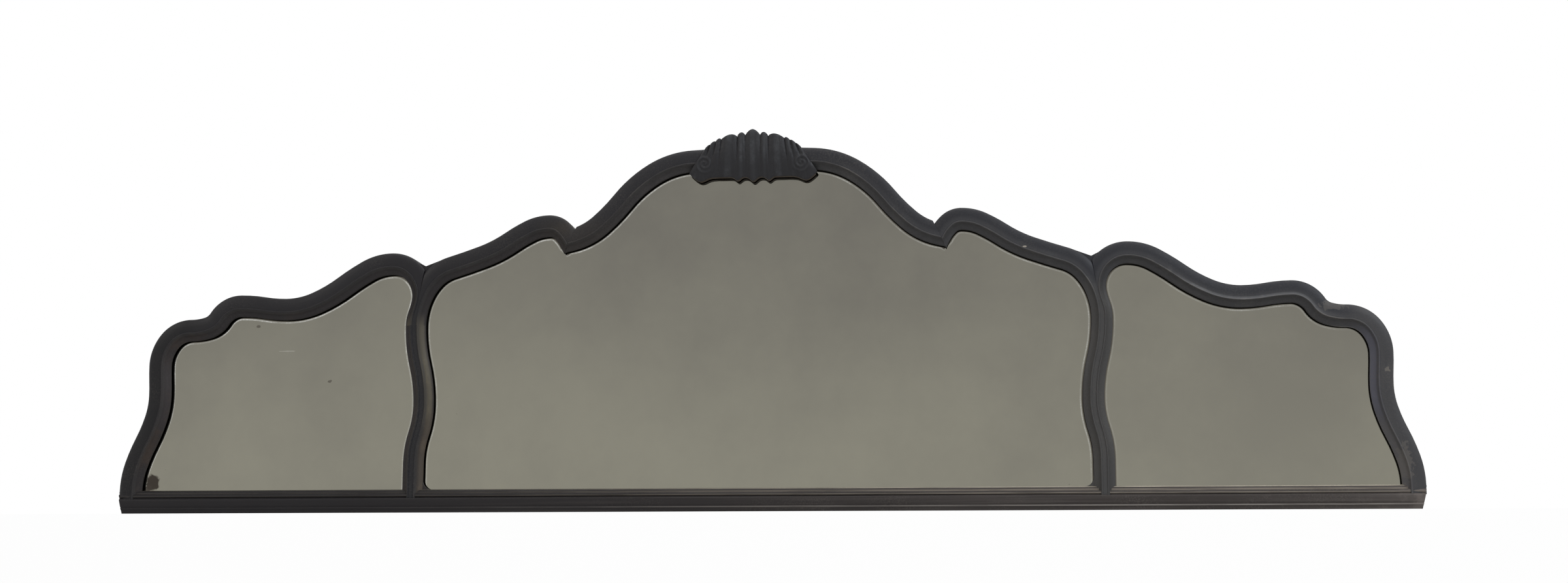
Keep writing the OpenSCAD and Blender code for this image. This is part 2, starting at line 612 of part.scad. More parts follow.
// ---------- Pieces of the +X side
module end_stile() {
    color(wood)
        difference() {
            swept(stile_stops, rail_profile, rail_ends);
            base_prism(far);
            base_dowel_set(bore_gap);
            rail_dowel_set(bore_gap);
            pin_set(wing_pins, bore_gap);
        }
}

module wing_rail() {
    color(wood)
        difference() {
            swept(stops(arcs(wing_line, joint_at, arm_at)), rail_profile, rail_ends);
            rail_dowel_set(bore_gap);
            pin_set(wing_pins, bore_gap);
        }
}

module mullion() {
    head = [mull_x, head_z];
    color(wood)
        difference() {
            union() {
                swept(mull_stops, mull_profile, mull_ends);
                difference() {
                    swept(wing_arm_stops, rail_profile, rail_ends);
                    one_side(head, valley_at, true);
                }
                difference() {
                    swept(inner_arm_stops, rail_profile, rail_ends);
                    one_side(head, valley_at, false);
                }
                plate(valley_web, edge_y + 0.4, back_y - edge_y - 0.4);
                plate(foot_web, lip_y + 0.3, lip_t - 0.3);
            }
            base_prism(far);
            base_dowel_set(bore_gap);
            rail_dowel_set(bore_gap);
            pin_set(wing_pins, bore_gap);
            pin_set(centre_pins, bore_gap);
            hanger_screw_set(bore_gap);
        }
}

module shoulder_rail() {
    color(wood)
        difference() {
            swept(shoulder_stops, rail_profile, rail_ends);
            one_side(notch_valley, notch_hook, false);
            rail_dowel_set(bore_gap);
            notch_dowel_peg(bore_gap);
            pin_set(centre_pins, bore_gap);
        }
}

module joint_dowels() {
    color(pale_wood) {
        base_dowel_set(0);
        rail_dowel_set(0);
        notch_dowel_peg(0);
    }
}

module hanger_strap() {
    color(brass)
        difference() {
            union() {
                translate([hanger_x - strap_w / 2, back_y, hanger_z - strap_l])
                    cube([strap_w, strap_t, strap_l + eye_r]);
                translate([hanger_x - strap_w / 2, ring_y, ring_z])
                    rotate([0, 90, 0])
                        cylinder(r = eye_r, h = strap_w);
            }
            translate([hanger_x - strap_w, ring_y, ring_z])
                rotate([0, 90, 0])
                    cylinder(r = wire_r + bore_gap, h = 2 * strap_w);
            hanger_screw_set(bore_gap);
        }
}

module hanger_ring() {
    color(brass)
        translate([hanger_x, ring_y, ring_z]) {
            translate([-ring_r, 0, 0])
                rotate([0, 90, 0])
                    cylinder(r = wire_r, h = 2 * ring_r);
            rotate([90, 0, 0])
                rotate([0, 0, 180])
                    rotate_extrude(angle = 180)
                        translate([ring_r, 0])
                            circle(r = wire_r);
            for (x = [-ring_r, ring_r])
                translate([x, 0, 0])
                    sphere(r = wire_r);
        }
}

// ---------- Pieces that cross the middle
module base_rail() {
    color(wood)
        difference() {
            base_prism(base_end);
            both_sides()
                translate([base_end, 0, base_h])
                    rotate([0, atan2(base_end_rake, base_h), 0])
                        translate([0, -far / 2, -far / 2])
                            cube([far, far, far]);
            both_sides() {
                base_dowel_set(bore_gap);
                pin_set(wing_pins, bore_gap);
                pin_set(centre_pins, bore_gap);
            }
        }
}

module arch_rail() {
    color(wood)
        difference() {
            swept(arch_stops, rail_profile, rail_ends);
            plate(crest_rim, seat_y - far, far);
            crest_dowel_set(bore_gap);
            both_sides() {
                one_side(notch_valley, notch_hook, true);
                notch_dowel_peg(bore_gap);
                pin_set(centre_pins, bore_gap);
            }
        }
}

module crest_carving() {
    color(wood)
        difference() {
            crest_solid();
            crest_dowel_set(bore_gap);
        }
}

module crest_dowels() {
    color(pale_wood)
        crest_dowel_set(0);
}

module wing_mirror() {
    color(mirror_tone)
        plate(wing_outline(plate_into, floor_z + seat_gap), glass_y, glass_t);
}

module centre_mirror_plate() {
    color(mirror_tone)
        plate(centre_outline(plate_into, floor_z + seat_gap), glass_y, glass_t);
}

module wing_board() {
    color(board_wood)
        plate(wing_outline(board_into, board_floor_z + seat_gap), board_y, board_t);
}

module centre_backboard() {
    color(board_wood)
        plate(centre_outline(board_into, board_floor_z + seat_gap), board_y, board_t);
}

module wing_glass_blocks() {
    color(pale_wood)
        block_set(wing_blocks);
}

module centre_glass_blocks() {
    color(pale_wood)
        both_sides()
            block_set(centre_blocks);
}

module wing_board_pins() {
    color(steel)
        pin_set(wing_pins, 0);
}

module centre_board_pins() {
    color(steel)
        both_sides()
            pin_set(centre_pins, 0);
}

module hanger_screws() {
    color(steel)
        hanger_screw_set(0);
}

module left() {
    mirror([1, 0, 0])
        children();
}

base_rail();
left() end_stile();  // left_end_stile
end_stile();  // right_end_stile
left() wing_rail();  // left_wing_rail
wing_rail();  // right_wing_rail
left() mullion();  // left_mullion
mullion();  // right_mullion
left() shoulder_rail();  // left_shoulder_rail
shoulder_rail();  // right_shoulder_rail
arch_rail();
crest_carving();
left() wing_mirror();  // left_mirror_plate
centre_mirror_plate();
wing_mirror();  // right_mirror_plate
left() wing_board();  // left_backboard
centre_backboard();
wing_board();  // right_backboard
left() wing_glass_blocks();  // left_glass_blocks
centre_glass_blocks();
wing_glass_blocks();  // right_glass_blocks
left() wing_board_pins();  // left_board_pins
centre_board_pins();
wing_board_pins();  // right_board_pins
left() joint_dowels();  // left_joint_dowels
joint_dowels();  // right_joint_dowels
crest_dowels();
left() hanger_strap();  // left_hanger_strap
hanger_strap();  // right_hanger_strap
left() hanger_ring();  // left_hanger_ring
hanger_ring();  // right_hanger_ring
left() hanger_screws();  // left_hanger_screws
hanger_screws();  // right_hanger_screws
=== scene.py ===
import bpy, bmesh, json
from math import radians, degrees, sin, cos, pi, sqrt, ceil, exp, atan2
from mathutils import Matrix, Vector, noise


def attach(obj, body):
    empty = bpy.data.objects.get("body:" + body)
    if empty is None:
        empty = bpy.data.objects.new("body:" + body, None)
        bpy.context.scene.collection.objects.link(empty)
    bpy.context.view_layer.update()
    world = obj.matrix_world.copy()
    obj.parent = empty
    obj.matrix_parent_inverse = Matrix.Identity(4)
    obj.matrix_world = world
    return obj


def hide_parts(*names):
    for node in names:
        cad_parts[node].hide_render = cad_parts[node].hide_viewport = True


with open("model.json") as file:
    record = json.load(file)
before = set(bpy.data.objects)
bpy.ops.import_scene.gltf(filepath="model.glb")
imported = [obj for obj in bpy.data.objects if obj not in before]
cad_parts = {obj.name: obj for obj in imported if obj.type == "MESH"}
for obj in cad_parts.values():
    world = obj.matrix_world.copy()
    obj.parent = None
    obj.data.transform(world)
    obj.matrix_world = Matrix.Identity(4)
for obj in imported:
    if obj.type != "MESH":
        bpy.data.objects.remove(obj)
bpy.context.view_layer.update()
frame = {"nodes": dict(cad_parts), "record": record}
scene = bpy.context.scene
scene.view_settings.view_transform = "Standard"
mm = 0.001  # the camera, the stage and the lamps are in metres, everything else in millimetres
perMetre = 1000

# camera: low and a little right of the middle, as the photograph was taken
cameraSetup = {"place": (0.2081, -1.8750, -0.0730), "turn": 5.44, "tilt": 8.68, "lens": 45, "sensor": 36}

cameraData = bpy.data.cameras.new("camera")
cameraData.lens = cameraSetup["lens"]
cameraData.sensor_width = cameraSetup["sensor"]
camera = bpy.data.objects.new("camera", cameraData)
camera.location = cameraSetup["place"]
camera.rotation_euler = (radians(90 + cameraSetup["tilt"]), 0, radians(cameraSetup["turn"]))
scene.collection.objects.link(camera)
scene.camera = camera
print("camera placed")


# small helpers for node trees
def newTree(owner):
    owner.use_nodes = True
    owner.node_tree.nodes.clear()
    return owner.node_tree


def feed(tree, socket, value):
    # a number or a colour is written on the socket, and another node's output is linked to it
    if isinstance(value, tuple):
        socket.default_value = value + (1,)
    elif isinstance(value, (int, float)):
        socket.default_value = value
    else:
        tree.links.new(value, socket)


def addNode(tree, kind, inputs={}, **settings):
    node = tree.nodes.new(kind)
    for key, value in settings.items():
        setattr(node, key, value)
    for key, value in inputs.items():
        feed(tree, node.inputs[key], value)
    return node


def mathNode(tree, kind, first, second=0.0, clamp=False):
    return addNode(tree, "ShaderNodeMath", {0: first, 1: second}, operation=kind, use_clamp=clamp).outputs[0]


def times(tree, product, *factors):
    for factor in factors:
        product = mathNode(tree, "MULTIPLY", product, factor)
    return product


def rangeNode(tree, value, low, high, toLow=0.0, toHigh=1.0):
    inputs = {"Value": value, "From Min": low, "From Max": high, "To Min": toLow, "To Max": toHigh}
    return addNode(tree, "ShaderNodeMapRange", inputs, interpolation_type="SMOOTHSTEP").outputs["Result"]


def between(tree, share, low, high):
    return rangeNode(tree, share, 0, 1, low, high)


def noiseNode(tree, place, scale, detail=2.0, **others):
    inputs = {"Vector": place, "Scale": scale, "Detail": detail, **others}
    return addNode(tree, "ShaderNodeTexNoise", inputs).outputs["Fac"]


def mixColour(tree, share, first, second):
    node = addNode(tree, "ShaderNodeMix", data_type="RGBA")
    colours = [s for s in node.inputs if s.type == "RGBA"]
    for socket, value in zip((node.inputs[0], *colours), (share, first, second)):
        feed(tree, socket, value)
    return [s for s in node.outputs if s.type == "RGBA"][0]


def bumpNode(tree, height, strength, distance, before=None):
    node = addNode(tree, "ShaderNodeBump", {"Height": height, "Strength": strength, "Distance": distance})
    if before:
        feed(tree, node.inputs["Normal"], before)
    return node.outputs["Normal"]


# small helpers for meshes
def vertsOf(found):
    return [g for g in found if isinstance(g, bmesh.types.BMVert)]


def edgesOf(found):
    return [g for g in found if isinstance(g, bmesh.types.BMEdge)]


def allOf(bm):
    return bm.verts[:] + bm.edges[:] + bm.faces[:]


def carryOn(bm, edges, step=(0, 0, 0)):
    # extrudes a chain of edges by one step, and gives the new chain and its vertices
    found = bmesh.ops.extrude_edge_only(bm, edges=edges)["geom"]
    fresh = vertsOf(found)
    bmesh.ops.translate(bm, vec=step, verts=fresh)
    return [e for e in edgesOf(found) if all(v in fresh for v in e.verts)], fresh


def spinStep(bm, geom, centre, turn):
    return bmesh.ops.spin(bm, geom=geom, cent=(centre.x * mm, 0, centre.y * mm), axis=(0, -1, 0),
                          angle=radians(turn), steps=1)["geom_last"]


def closeRims(bm, *rims):
    for rim in rims:
        if rim:
            bmesh.ops.contextual_create(bm, geom=rim)


def flipAcross(bm, verts):
    bmesh.ops.scale(bm, vec=(-1, 1, 1), verts=verts)


def finishMesh(bm, name, material, sharp=38):
    bmesh.ops.dissolve_degenerate(bm, dist=1e-7, edges=bm.edges)
    bmesh.ops.recalc_face_normals(bm, faces=bm.faces)
    mesh = bpy.data.meshes.new(name)
    bm.to_mesh(mesh)
    bm.free()
    mesh.shade_smooth()
    mesh.set_sharp_from_angle(angle=radians(sharp))
    piece = bpy.data.objects.new(name, mesh)
    scene.collection.objects.link(piece)
    mesh.materials.append(material)
    return piece


def finishPiece(bm, name, material, node, sharp=38):
    piece = finishMesh(bm, name, material, sharp)
    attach(piece, "frame")
    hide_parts(node)


# stage: a pale shelf that ends just before the frame, a pale floor far below it, and soft lamps
stageSetup = {
    "shelfFront": -0.055, "shelfHalf": (30, 15), "shelfDrop": 1.1, "floorRun": 30,
    "white": 1.0, "shade": 0.82, "roughness": 0.8, "lensShare": 0.95, "roomGlow": 0.6,
}


def seenByLens(tree):
    # 1 for what is seen straight, in gloss or through glass, and 0 for the light that falls on the object
    rays = addNode(tree, "ShaderNodeLightPath").outputs
    seen = mathNode(tree, "MAXIMUM", rays["Is Camera Ray"], rays["Is Glossy Ray"])
    return mathNode(tree, "MAXIMUM", seen, rays["Is Transmission Ray"])


def makePaleFloor():
    material = bpy.data.materials.new("paleFloor")
    tree = newTree(material)
    shade = stageSetup["shade"]
    plain = addNode(tree, "ShaderNodeBsdfPrincipled", {
        "Base Color": (shade, shade, shade * 0.99), "Roughness": stageSetup["roughness"]})
    glow = addNode(tree, "ShaderNodeEmission", {"Color": (1, 1, 1), "Strength": stageSetup["white"]})
    share = times(tree, seenByLens(tree), stageSetup["lensShare"])
    mix = addNode(tree, "ShaderNodeMixShader", {0: share, 1: plain.outputs[0], 2: glow.outputs[0]})
    addNode(tree, "ShaderNodeOutputMaterial", {"Surface": mix.outputs[0]})
    return material


def makeStage():
    halfX, halfY = stageSetup["shelfHalf"]
    bm = bmesh.new()
    bmesh.ops.create_grid(bm, x_segments=1, y_segments=1, size=1)
    bmesh.ops.scale(bm, vec=(halfX, halfY, 1), verts=bm.verts)
    bmesh.ops.translate(bm, vec=(0, halfY + stageSetup["shelfFront"], 0), verts=bm.verts)
    front = [e for e in bm.edges if all(v.co.y < 0 for v in e.verts)]
    low = carryOn(bm, front, (0, 0, -stageSetup["shelfDrop"]))[0]
    carryOn(bm, low, (0, -stageSetup["floorRun"], 0))
    finishMesh(bm, "floor", makePaleFloor(), 30)


def makeWorld():
    world = bpy.data.worlds.new("softRoom")
    scene.world = world
    tree = newTree(world)
    level = addNode(tree, "ShaderNodeMapRange", {
        "Value": seenByLens(tree), "To Min": stageSetup["roomGlow"], "To Max": stageSetup["white"]})
    glow = addNode(tree, "ShaderNodeBackground", {"Color": (1, 1, 1), "Strength": level.outputs["Result"]})
    addNode(tree, "ShaderNodeOutputWorld", {"Surface": glow.outputs[0]})


lamps = {
    "lampRight": {"place": (2.3, -1.5, 1.9), "aim": (0.3, 0, 0.2), "size": (1.5, 1.2), "power": 42,
                  "colour": (0.86, 0.93, 1.0)},
    "lampLeft": {"place": (-2.5, -1.9, 2.0), "aim": (-0.2, 0, 0.2), "size": (1.3, 1.0), "power": 12,
                 "colour": (1.0, 0.95, 0.88)},
    "lampTop": {"place": (0.2, -0.6, 2.6), "aim": (0.1, 0, 0.2), "size": (2.4, 0.8), "power": 24,
                "colour": (1.0, 1.0, 1.0)},
}


def makeLamps():
    for name, lamp in lamps.items():
        data = bpy.data.lights.new(name, "AREA")
        data.shape = "RECTANGLE"
        data.size, data.size_y = lamp["size"]
        data.energy = lamp["power"]
        data.color = lamp["colour"]
        light = bpy.data.objects.new(name, data)
        light.location = lamp["place"]
        toward = Vector(lamp["aim"]) - Vector(lamp["place"])
        light.rotation_euler = toward.to_track_quat("-Z", "Y").to_euler()
        scene.collection.objects.link(light)


makeStage()
makeWorld()
makeLamps()
print("stage, world and lamps made")


# effects that several materials share
def startGroup(name, numbersIn, vectorsIn, numbersOut):
    tree = bpy.data.node_groups.new(name, "ShaderNodeTree")
    for key, value in numbersIn.items():
        tree.interface.new_socket(name=key, in_out="INPUT", socket_type="NodeSocketFloat").default_value = value
    for key in vectorsIn:
        tree.interface.new_socket(name=key, in_out="INPUT", socket_type="NodeSocketVector")
    for key in numbersOut:
        tree.interface.new_socket(name=key, in_out="OUTPUT", socket_type="NodeSocketFloat")
    return tree, tree.nodes.new("NodeGroupInput").outputs, tree.nodes.new("NodeGroupOutput").inputs


def useGroup(tree, group, **values):
    node = addNode(tree, "ShaderNodeGroup", node_tree=group)
    for key, value in values.items():
        feed(tree, node.inputs[key], value)
    return node.outputs


def makeGrainGroup():
    # fibres run along Along; the three places are in millimetres
    numbersIn = {"Along": 0, "Across": 0, "Depth": 0, "Stretch": 0.035, "Fineness": 0.9}
    tree, given, out = startGroup("woodFibres", numbersIn, [], ["Fibre", "Streak", "Pore"])
    place = addNode(tree, "ShaderNodeCombineXYZ", {
        "X": times(tree, given["Along"], given["Stretch"]), "Y": times(tree, given["Across"], given["Fineness"]),
        "Z": times(tree, given["Depth"], given["Fineness"])}).outputs[0]
    feed(tree, out["Fibre"], noiseNode(tree, place, 1.0, 5, Roughness=0.62))
    feed(tree, out["Streak"], noiseNode(tree, place, 0.3, 3, Distortion=0.4))
    feed(tree, out["Pore"], rangeNode(tree, noiseNode(tree, place, 3.2), 0.62, 0.72))
    return tree


def makeSpotsGroup():
    # scattered specks, each about Size across, kept where Chance lets them be
    tree, given, out = startGroup("specks", {"Spread": 40, "Size": 0.12, "Chance": 0.3}, ["Place"], ["Speck"])
    cells = addNode(tree, "ShaderNodeTexVoronoi", {"Vector": given["Place"], "Scale": given["Spread"]}, feature="F1")
    wobble = times(tree, noiseNode(tree, given["Place"], 900), 0.12)
    shape = mathNode(tree, "ADD", cells.outputs["Distance"], wobble)
    inside = mathNode(tree, "LESS_THAN", shape, mathNode(tree, "ADD", given["Size"], 0.05))
    tone = addNode(tree, "ShaderNodeSeparateColor", {0: cells.outputs["Color"]}).outputs[0]
    feed(tree, out["Speck"], times(tree, inside, mathNode(tree, "LESS_THAN", tone, given["Chance"])))
    return tree


def makeWearGroup():
    # soft patches where a finish is rubbed, dusty or uneven
    numbersIn = {"Scale": 20, "Low": 0.45, "High": 0.65}
    tree, given, out = startGroup("rubbedPatches", numbersIn, ["Place"], ["Patch", "Dust"])
    cloud = noiseNode(tree, given["Place"], given["Scale"], 6, Roughness=0.65)
    feed(tree, out["Patch"], rangeNode(tree, cloud, given["Low"], given["High"]))
    feed(tree, out["Dust"], rangeNode(tree, noiseNode(tree, given["Place"], 700, 3), 0.4, 0.75))
    return tree


def makeMarkGroup():
    # one rounded mark at a place on the face, its edge broken by noise; all lengths in metres
    numbersIn = {"X": 0, "Z": 0, "Wide": 0.01, "High": 0.01, "Ragged": 0.5}
    tree, given, out = startGroup("faceMark", numbersIn, ["Place"], ["Mark"])
    parts = addNode(tree, "ShaderNodeSeparateXYZ", {0: given["Place"]}).outputs
    squares = []
    for axis, size in (("X", "Wide"), ("Z", "High")):
        share = mathNode(tree, "DIVIDE", mathNode(tree, "SUBTRACT", parts[axis], given[axis]), given[size])
        squares.append(times(tree, share, share))
    reach = mathNode(tree, "SQRT", mathNode(tree, "ADD", *squares))
    edge = mathNode(tree, "SUBTRACT", noiseNode(tree, given["Place"], 260, 4), 0.5)
    reach = mathNode(tree, "ADD", reach, times(tree, edge, given["Ragged"], 2))
    feed(tree, out["Mark"], rangeNode(tree, reach, 1.0, 0.75))
    return tree


grainGroup = makeGrainGroup()
spotsGroup = makeSpotsGroup()
wearGroup = makeWearGroup()
markGroup = makeMarkGroup()
print("shared effects made")


def startMaterial(name, inputs={}):
    # a material with its shader's sockets, and the place on the object in metres
    material = bpy.data.materials.new(name)
    tree = newTree(material)
    shader = addNode(tree, "ShaderNodeBsdfPrincipled", inputs)
    addNode(tree, "ShaderNodeOutputMaterial", {"Surface": shader.outputs[0]})
    return material, tree, shader.inputs, addNode(tree, "ShaderNodeTexCoord").outputs["Object"]


def splitPlace(tree, place):
    return addNode(tree, "ShaderNodeSeparateXYZ", {0: place}).outputs


def numberFrom(tree, name):
    return addNode(tree, "ShaderNodeAttribute", attribute_type="GEOMETRY", attribute_name=name).outputs["Fac"]


def zoneShare(tree, measures, limits):
    # 1 where every measure is past its limit, 0 where one of them isn't there yet
    return times(tree, *(rangeNode(tree, measures[name], comes, full) for name, comes, full in limits))


def addMarks(tree, finish, marks, look, place, front=1.0):
    for mark in marks.values():
        x, z, wide, high = (mark[key] * mm for key in ("x", "z", "wide", "high"))
        spot = useGroup(tree, markGroup, Place=place, X=x, Z=z, Wide=wide, High=high, Ragged=mark["ragged"])
        finish = mixColour(tree, times(tree, spot["Mark"], front, mark["strength"]), finish, look[mark["tone"]])
    return finish


def finishTimber(tree, wood, look, finish, roughness, grain, patches):
    feed(tree, wood["Base Color"], finish)
    feed(tree, wood["Roughness"], roughness)
    relief = bumpNode(tree, grain["Fibre"], *look["fibreRelief"])
    feed(tree, wood["Normal"], bumpNode(tree, patches["Patch"], *look["patchRelief"], relief))


# ebonised timber: the same finish on the moulding, the base rail and the crest. A fade is where it starts and where
# it is full, then its levels there if not 0 and 1; patchy is the least and the most; relief is strength and metres
timberLook = {
    "black": (0.0088, 0.0076, 0.0084), "slate": (0.02, 0.0203, 0.0242), "brown": (0.044, 0.028, 0.019),
    # the pale worn tone serves rubbed wear, dust and marks, and the painted highlight along the bead
    "wearAndGlint": (0.125, 0.112, 0.098), "bare": (0.3, 0.27, 0.23), "roughness": 0.42, "specular": 0.19,
    "streaks": 0.4, "brownShare": 0.5, "edgeRub": 0.35, "dust": 0.16, "beadAt": 7.0,
    "patches": {"Scale": 26.0, "Low": 0.46, "High": 0.68}, "broad": {"Scale": 7.0, "Low": 0.38, "High": 0.62},
    "front": (-1.2, -2.0), "slateX": (-350, 450), "edgeFrom": (19.3, 21.5), "beadRubGlint": (1.0, 0.2),
    "beadRubGlintPatchy": (0.25, 0.9), "beadRubGlintX": (-450, 350, 0.05, 0.55), "beadRubGlintEnd": (550, 580, 1.0, 0.35),
    "brownFrom": [("across", 7.2, 4.5), ("x", -250, -500), ("z", 240, 150)], "patchRough": 0.14, "fibreRough": 0.16,
    "fibreRelief": (0.35, 0.00025), "patchRelief": (0.22, 0.0004),
}
# where the moulding's tone changes, its own tone in some zones and painted light and shade in others: each limit is a
# measure, where the tone comes in and where it is full
mullionLimits = [("fromMiddle", 308, 316), ("fromMiddle", 352, 345), ("z", 225, 200)]
leftMullion = mullionLimits + [("x", 0, -10)]
timberZones = {
    "slopeLeft": {"tone": (0.023, 0.0195, 0.0195), "share": 0.9, "uneven": 0.3,
                  "limits": [("across", 7.0, 6.0), ("x", 100, -100)]},
    # painted light: the sloped inner faces are paler right of the middle, where the light falls
    "slopeRight": {"tone": (0.049, 0.0475, 0.0477), "share": 0.9, "uneven": 0.3,
                   "limits": [("across", 7.0, 6.0), ("x", -260, 100)]},
    "stileSlope": {"tone": (0.031, 0.0255, 0.0262), "share": 0.9, "uneven": 0.4,
                   "limits": [("across", 7.5, 6.0), ("x", -560, -580), ("z", 75, 95), ("z", 175, 150)]},
    # painted sheen on the band beside the bead towards the right, and a painted highlight along the bead on the right
    # wing
    "besideBead": {"tone": (0.058, 0.0572, 0.0595), "share": 0.8, "uneven": 0.45,
                   "limits": [("across", 14.0, 8.5), ("across", 5.4, 7.0), ("x", 0, 230)]},
    "wingSheen": {"tone": (0.16, 0.16, 0.165), "share": 0.85, "uneven": 0.45,
                  "limits": [("across", 10.0, 8.3), ("across", 6.2, 7.2), ("x", 390, 430), ("x", 550, 520)]},
    # painted shadow along the lip of the upper rails, and painted light on the lip of each stile, where shade falls
    "lipAbove": {"tone": (0.006, 0.0055, 0.0055), "share": 0.9, "uneven": 0.1,
                 "limits": [("across", 0.4, -0.1), ("z", 165, 190)]},
    "lipLeft": {"tone": (0.034, 0.031, 0.031), "share": 0.9, "uneven": 0.2,
                "limits": [("across", 0.6, 0.0), ("x", -540, -570), ("z", 190, 165)]},
    "lipRight": {"tone": (0.2, 0.19, 0.18), "share": 0.85, "uneven": 0.3,
                 "limits": [("across", 0.6, 0.0), ("x", 535, 570)]},
    "notchBrown": {"tone": (0.034, 0.028, 0.022), "share": 0.6, "uneven": 0.5,
                   "limits": [("x", -225, -195), ("x", -110, -165), ("z", 248, 258), ("z", 292, 280)]},
    "stileLeft": {"tone": (0.0055, 0.0052, 0.0058), "share": 0.85, "uneven": 0.1,
                  "limits": [("across", 6.0, 9.0), ("x", -545, -575)]},
    # painted light over the right stile and on its sloped inner face, with a painted bluish sheen on that face
    "stileRight": {"tone": (0.047, 0.0452, 0.046), "share": 0.9, "uneven": 0.25, "limits": [("x", 550, 580)]},
    "stileRightSlope": {"tone": (0.094, 0.0895, 0.093), "share": 0.85, "uneven": 0.25,
                        "limits": [("across", 9.5, 5.5), ("x", 550, 580), ("z", 100, 75)]},
    "stileBlueSheen": {"tone": (0.084, 0.084, 0.107), "share": 0.95, "uneven": 0.2,
                   "limits": [("across", 9.0, 4.0), ("x", 550, 580), ("z", 75, 100), ("z", 180, 160)]},
    "mullionRight": {"tone": (0.054, 0.052, 0.0502), "share": 0.9, "uneven": 0.2,
                     "limits": mullionLimits + [("x", 0, 10)]},
    "mullionLeft": {"tone": (0.0135, 0.0135, 0.0152), "share": 0.9, "uneven": 0.2,
                    "limits": leftMullion + [("across", 5.5, 7.5)]},
    "mullionTan": {"tone": (0.105, 0.091, 0.063), "share": 0.95, "uneven": 0.35,
                   "limits": leftMullion + [("beside", 1.8, 5.0), ("beside", 10.2, 8.0),
                                            ("z", 70, 105), ("z", 200, 180)]},
    "mullionBrown": {"tone": (0.08, 0.064, 0.047), "share": 0.9, "uneven": 0.35,
                     "limits": leftMullion + [("beside", 3.5, 8.0), ("z", 110, 80)]},
    # painted light in the groove beside the bead, where shade falls
    "groove": {"tone": (0.046, 0.044, 0.044), "share": 0.75, "uneven": 0.3,
               "limits": [("across", 4.2, 5.6), ("across", 6.8, 6.3)]},
}
timberMarks = {
    "notchChip": {"x": 262.1, "z": 253.4, "wide": 2.2, "high": 1.1, "ragged": 0.7, "strength": 0.9, "tone": "bare"},
    "stileChip": {"x": 597.0, "z": 131.0, "wide": 3.6, "high": 2.6, "ragged": 1.3, "strength": 0.75, "tone": "wearAndGlint"},
    "footRub": {"x": 608.0, "z": 44.0, "wide": 8.0, "high": 20.0, "ragged": 1.2, "strength": 0.35, "tone": "wearAndGlint"},
    "shoulderRub": {"x": 549.0, "z": 193.0, "wide": 13.0, "high": 4.5, "ragged": 1.2, "strength": 0.35, "tone": "wearAndGlint"},
}


def makeMouldingTimber():
    material, tree, wood, place = startMaterial("mouldingTimber", {"Specular IOR Level": timberLook["specular"]})
    parts = splitPlace(tree, place)
    across = numberFrom(tree, "across")
    grain = useGroup(tree, grainGroup, Along=numberFrom(tree, "along"), Across=across)
    patches = useGroup(tree, wearGroup, Place=place, **timberLook["patches"])
    broad = useGroup(tree, wearGroup, Place=place, **timberLook["broad"])
    front = rangeNode(tree, parts["Y"], *(y * mm for y in timberLook["front"]))
    measures = {"across": across, "beside": numberFrom(tree, "beside"),
                "x": times(tree, parts["X"], perMetre), "z": times(tree, parts["Z"], perMetre)}
    measures["fromMiddle"] = mathNode(tree, "ABSOLUTE", measures["x"])
    # painted sheen: the finish turns paler and cooler towards the right, where the light falls; the slate streaks along
    # the grain are the timber's own
    rightward = rangeNode(tree, measures["x"], *timberLook["slateX"])
    finish = mixColour(tree, rightward, timberLook["black"], timberLook["slate"])
    finish = mixColour(tree, times(tree, grain["Streak"], timberLook["streaks"]), finish, timberLook["slate"])
    for zone in timberZones.values():
        share = between(tree, patches["Patch"], zone["share"] * (1 - zone["uneven"]), zone["share"])
        share = times(tree, share, zoneShare(tree, measures, zone["limits"]), front)
        finish = mixColour(tree, share, finish, zone["tone"])
    # brown shows through on the sloped inner faces of the left-hand side
    leftSlope = zoneShare(tree, measures, timberLook["brownFrom"])
    brown = times(tree, leftSlope, front, patches["Patch"], timberLook["brownShare"])
    finish = mixColour(tree, brown, finish, timberLook["brown"])
    # the arris along the bead is paler, rubbed and with a painted highlight, more so towards the right, and the outer
    # edge is rubbed a little
    fromBead = mathNode(tree, "ABSOLUTE", mathNode(tree, "SUBTRACT", across, timberLook["beadAt"]))
    rubbedAndGlinting = times(tree, rangeNode(tree, fromBead, *timberLook["beadRubGlint"]), front,
                   between(tree, patches["Patch"], *timberLook["beadRubGlintPatchy"]),
                   rangeNode(tree, measures["x"], *timberLook["beadRubGlintX"]),
                   rangeNode(tree, measures["x"], *timberLook["beadRubGlintEnd"]),
                   mathNode(tree, "SUBTRACT", 1.0, zoneShare(tree, measures, mullionLimits)))
    finish = mixColour(tree, rubbedAndGlinting, finish, timberLook["wearAndGlint"])
    edge = rangeNode(tree, across, *timberLook["edgeFrom"])
    outer = times(tree, edge, front, patches["Patch"], timberLook["edgeRub"])
    finish = mixColour(tree, outer, finish, timberLook["brown"])
    dusty = times(tree, patches["Dust"], broad["Patch"], timberLook["dust"])
    finish = mixColour(tree, dusty, finish, timberLook["wearAndGlint"])
    finish = addMarks(tree, finish, timberMarks, timberLook, place, front)
    rough = mathNode(tree, "ADD", times(tree, broad["Patch"], timberLook["patchRough"]),
                     times(tree, grain["Fibre"], timberLook["fibreRough"]))
    rough = mathNode(tree, "ADD", rough, timberLook["roughness"] - 0.1)
    finishTimber(tree, wood, timberLook, finish, rough, grain, patches)
    return material


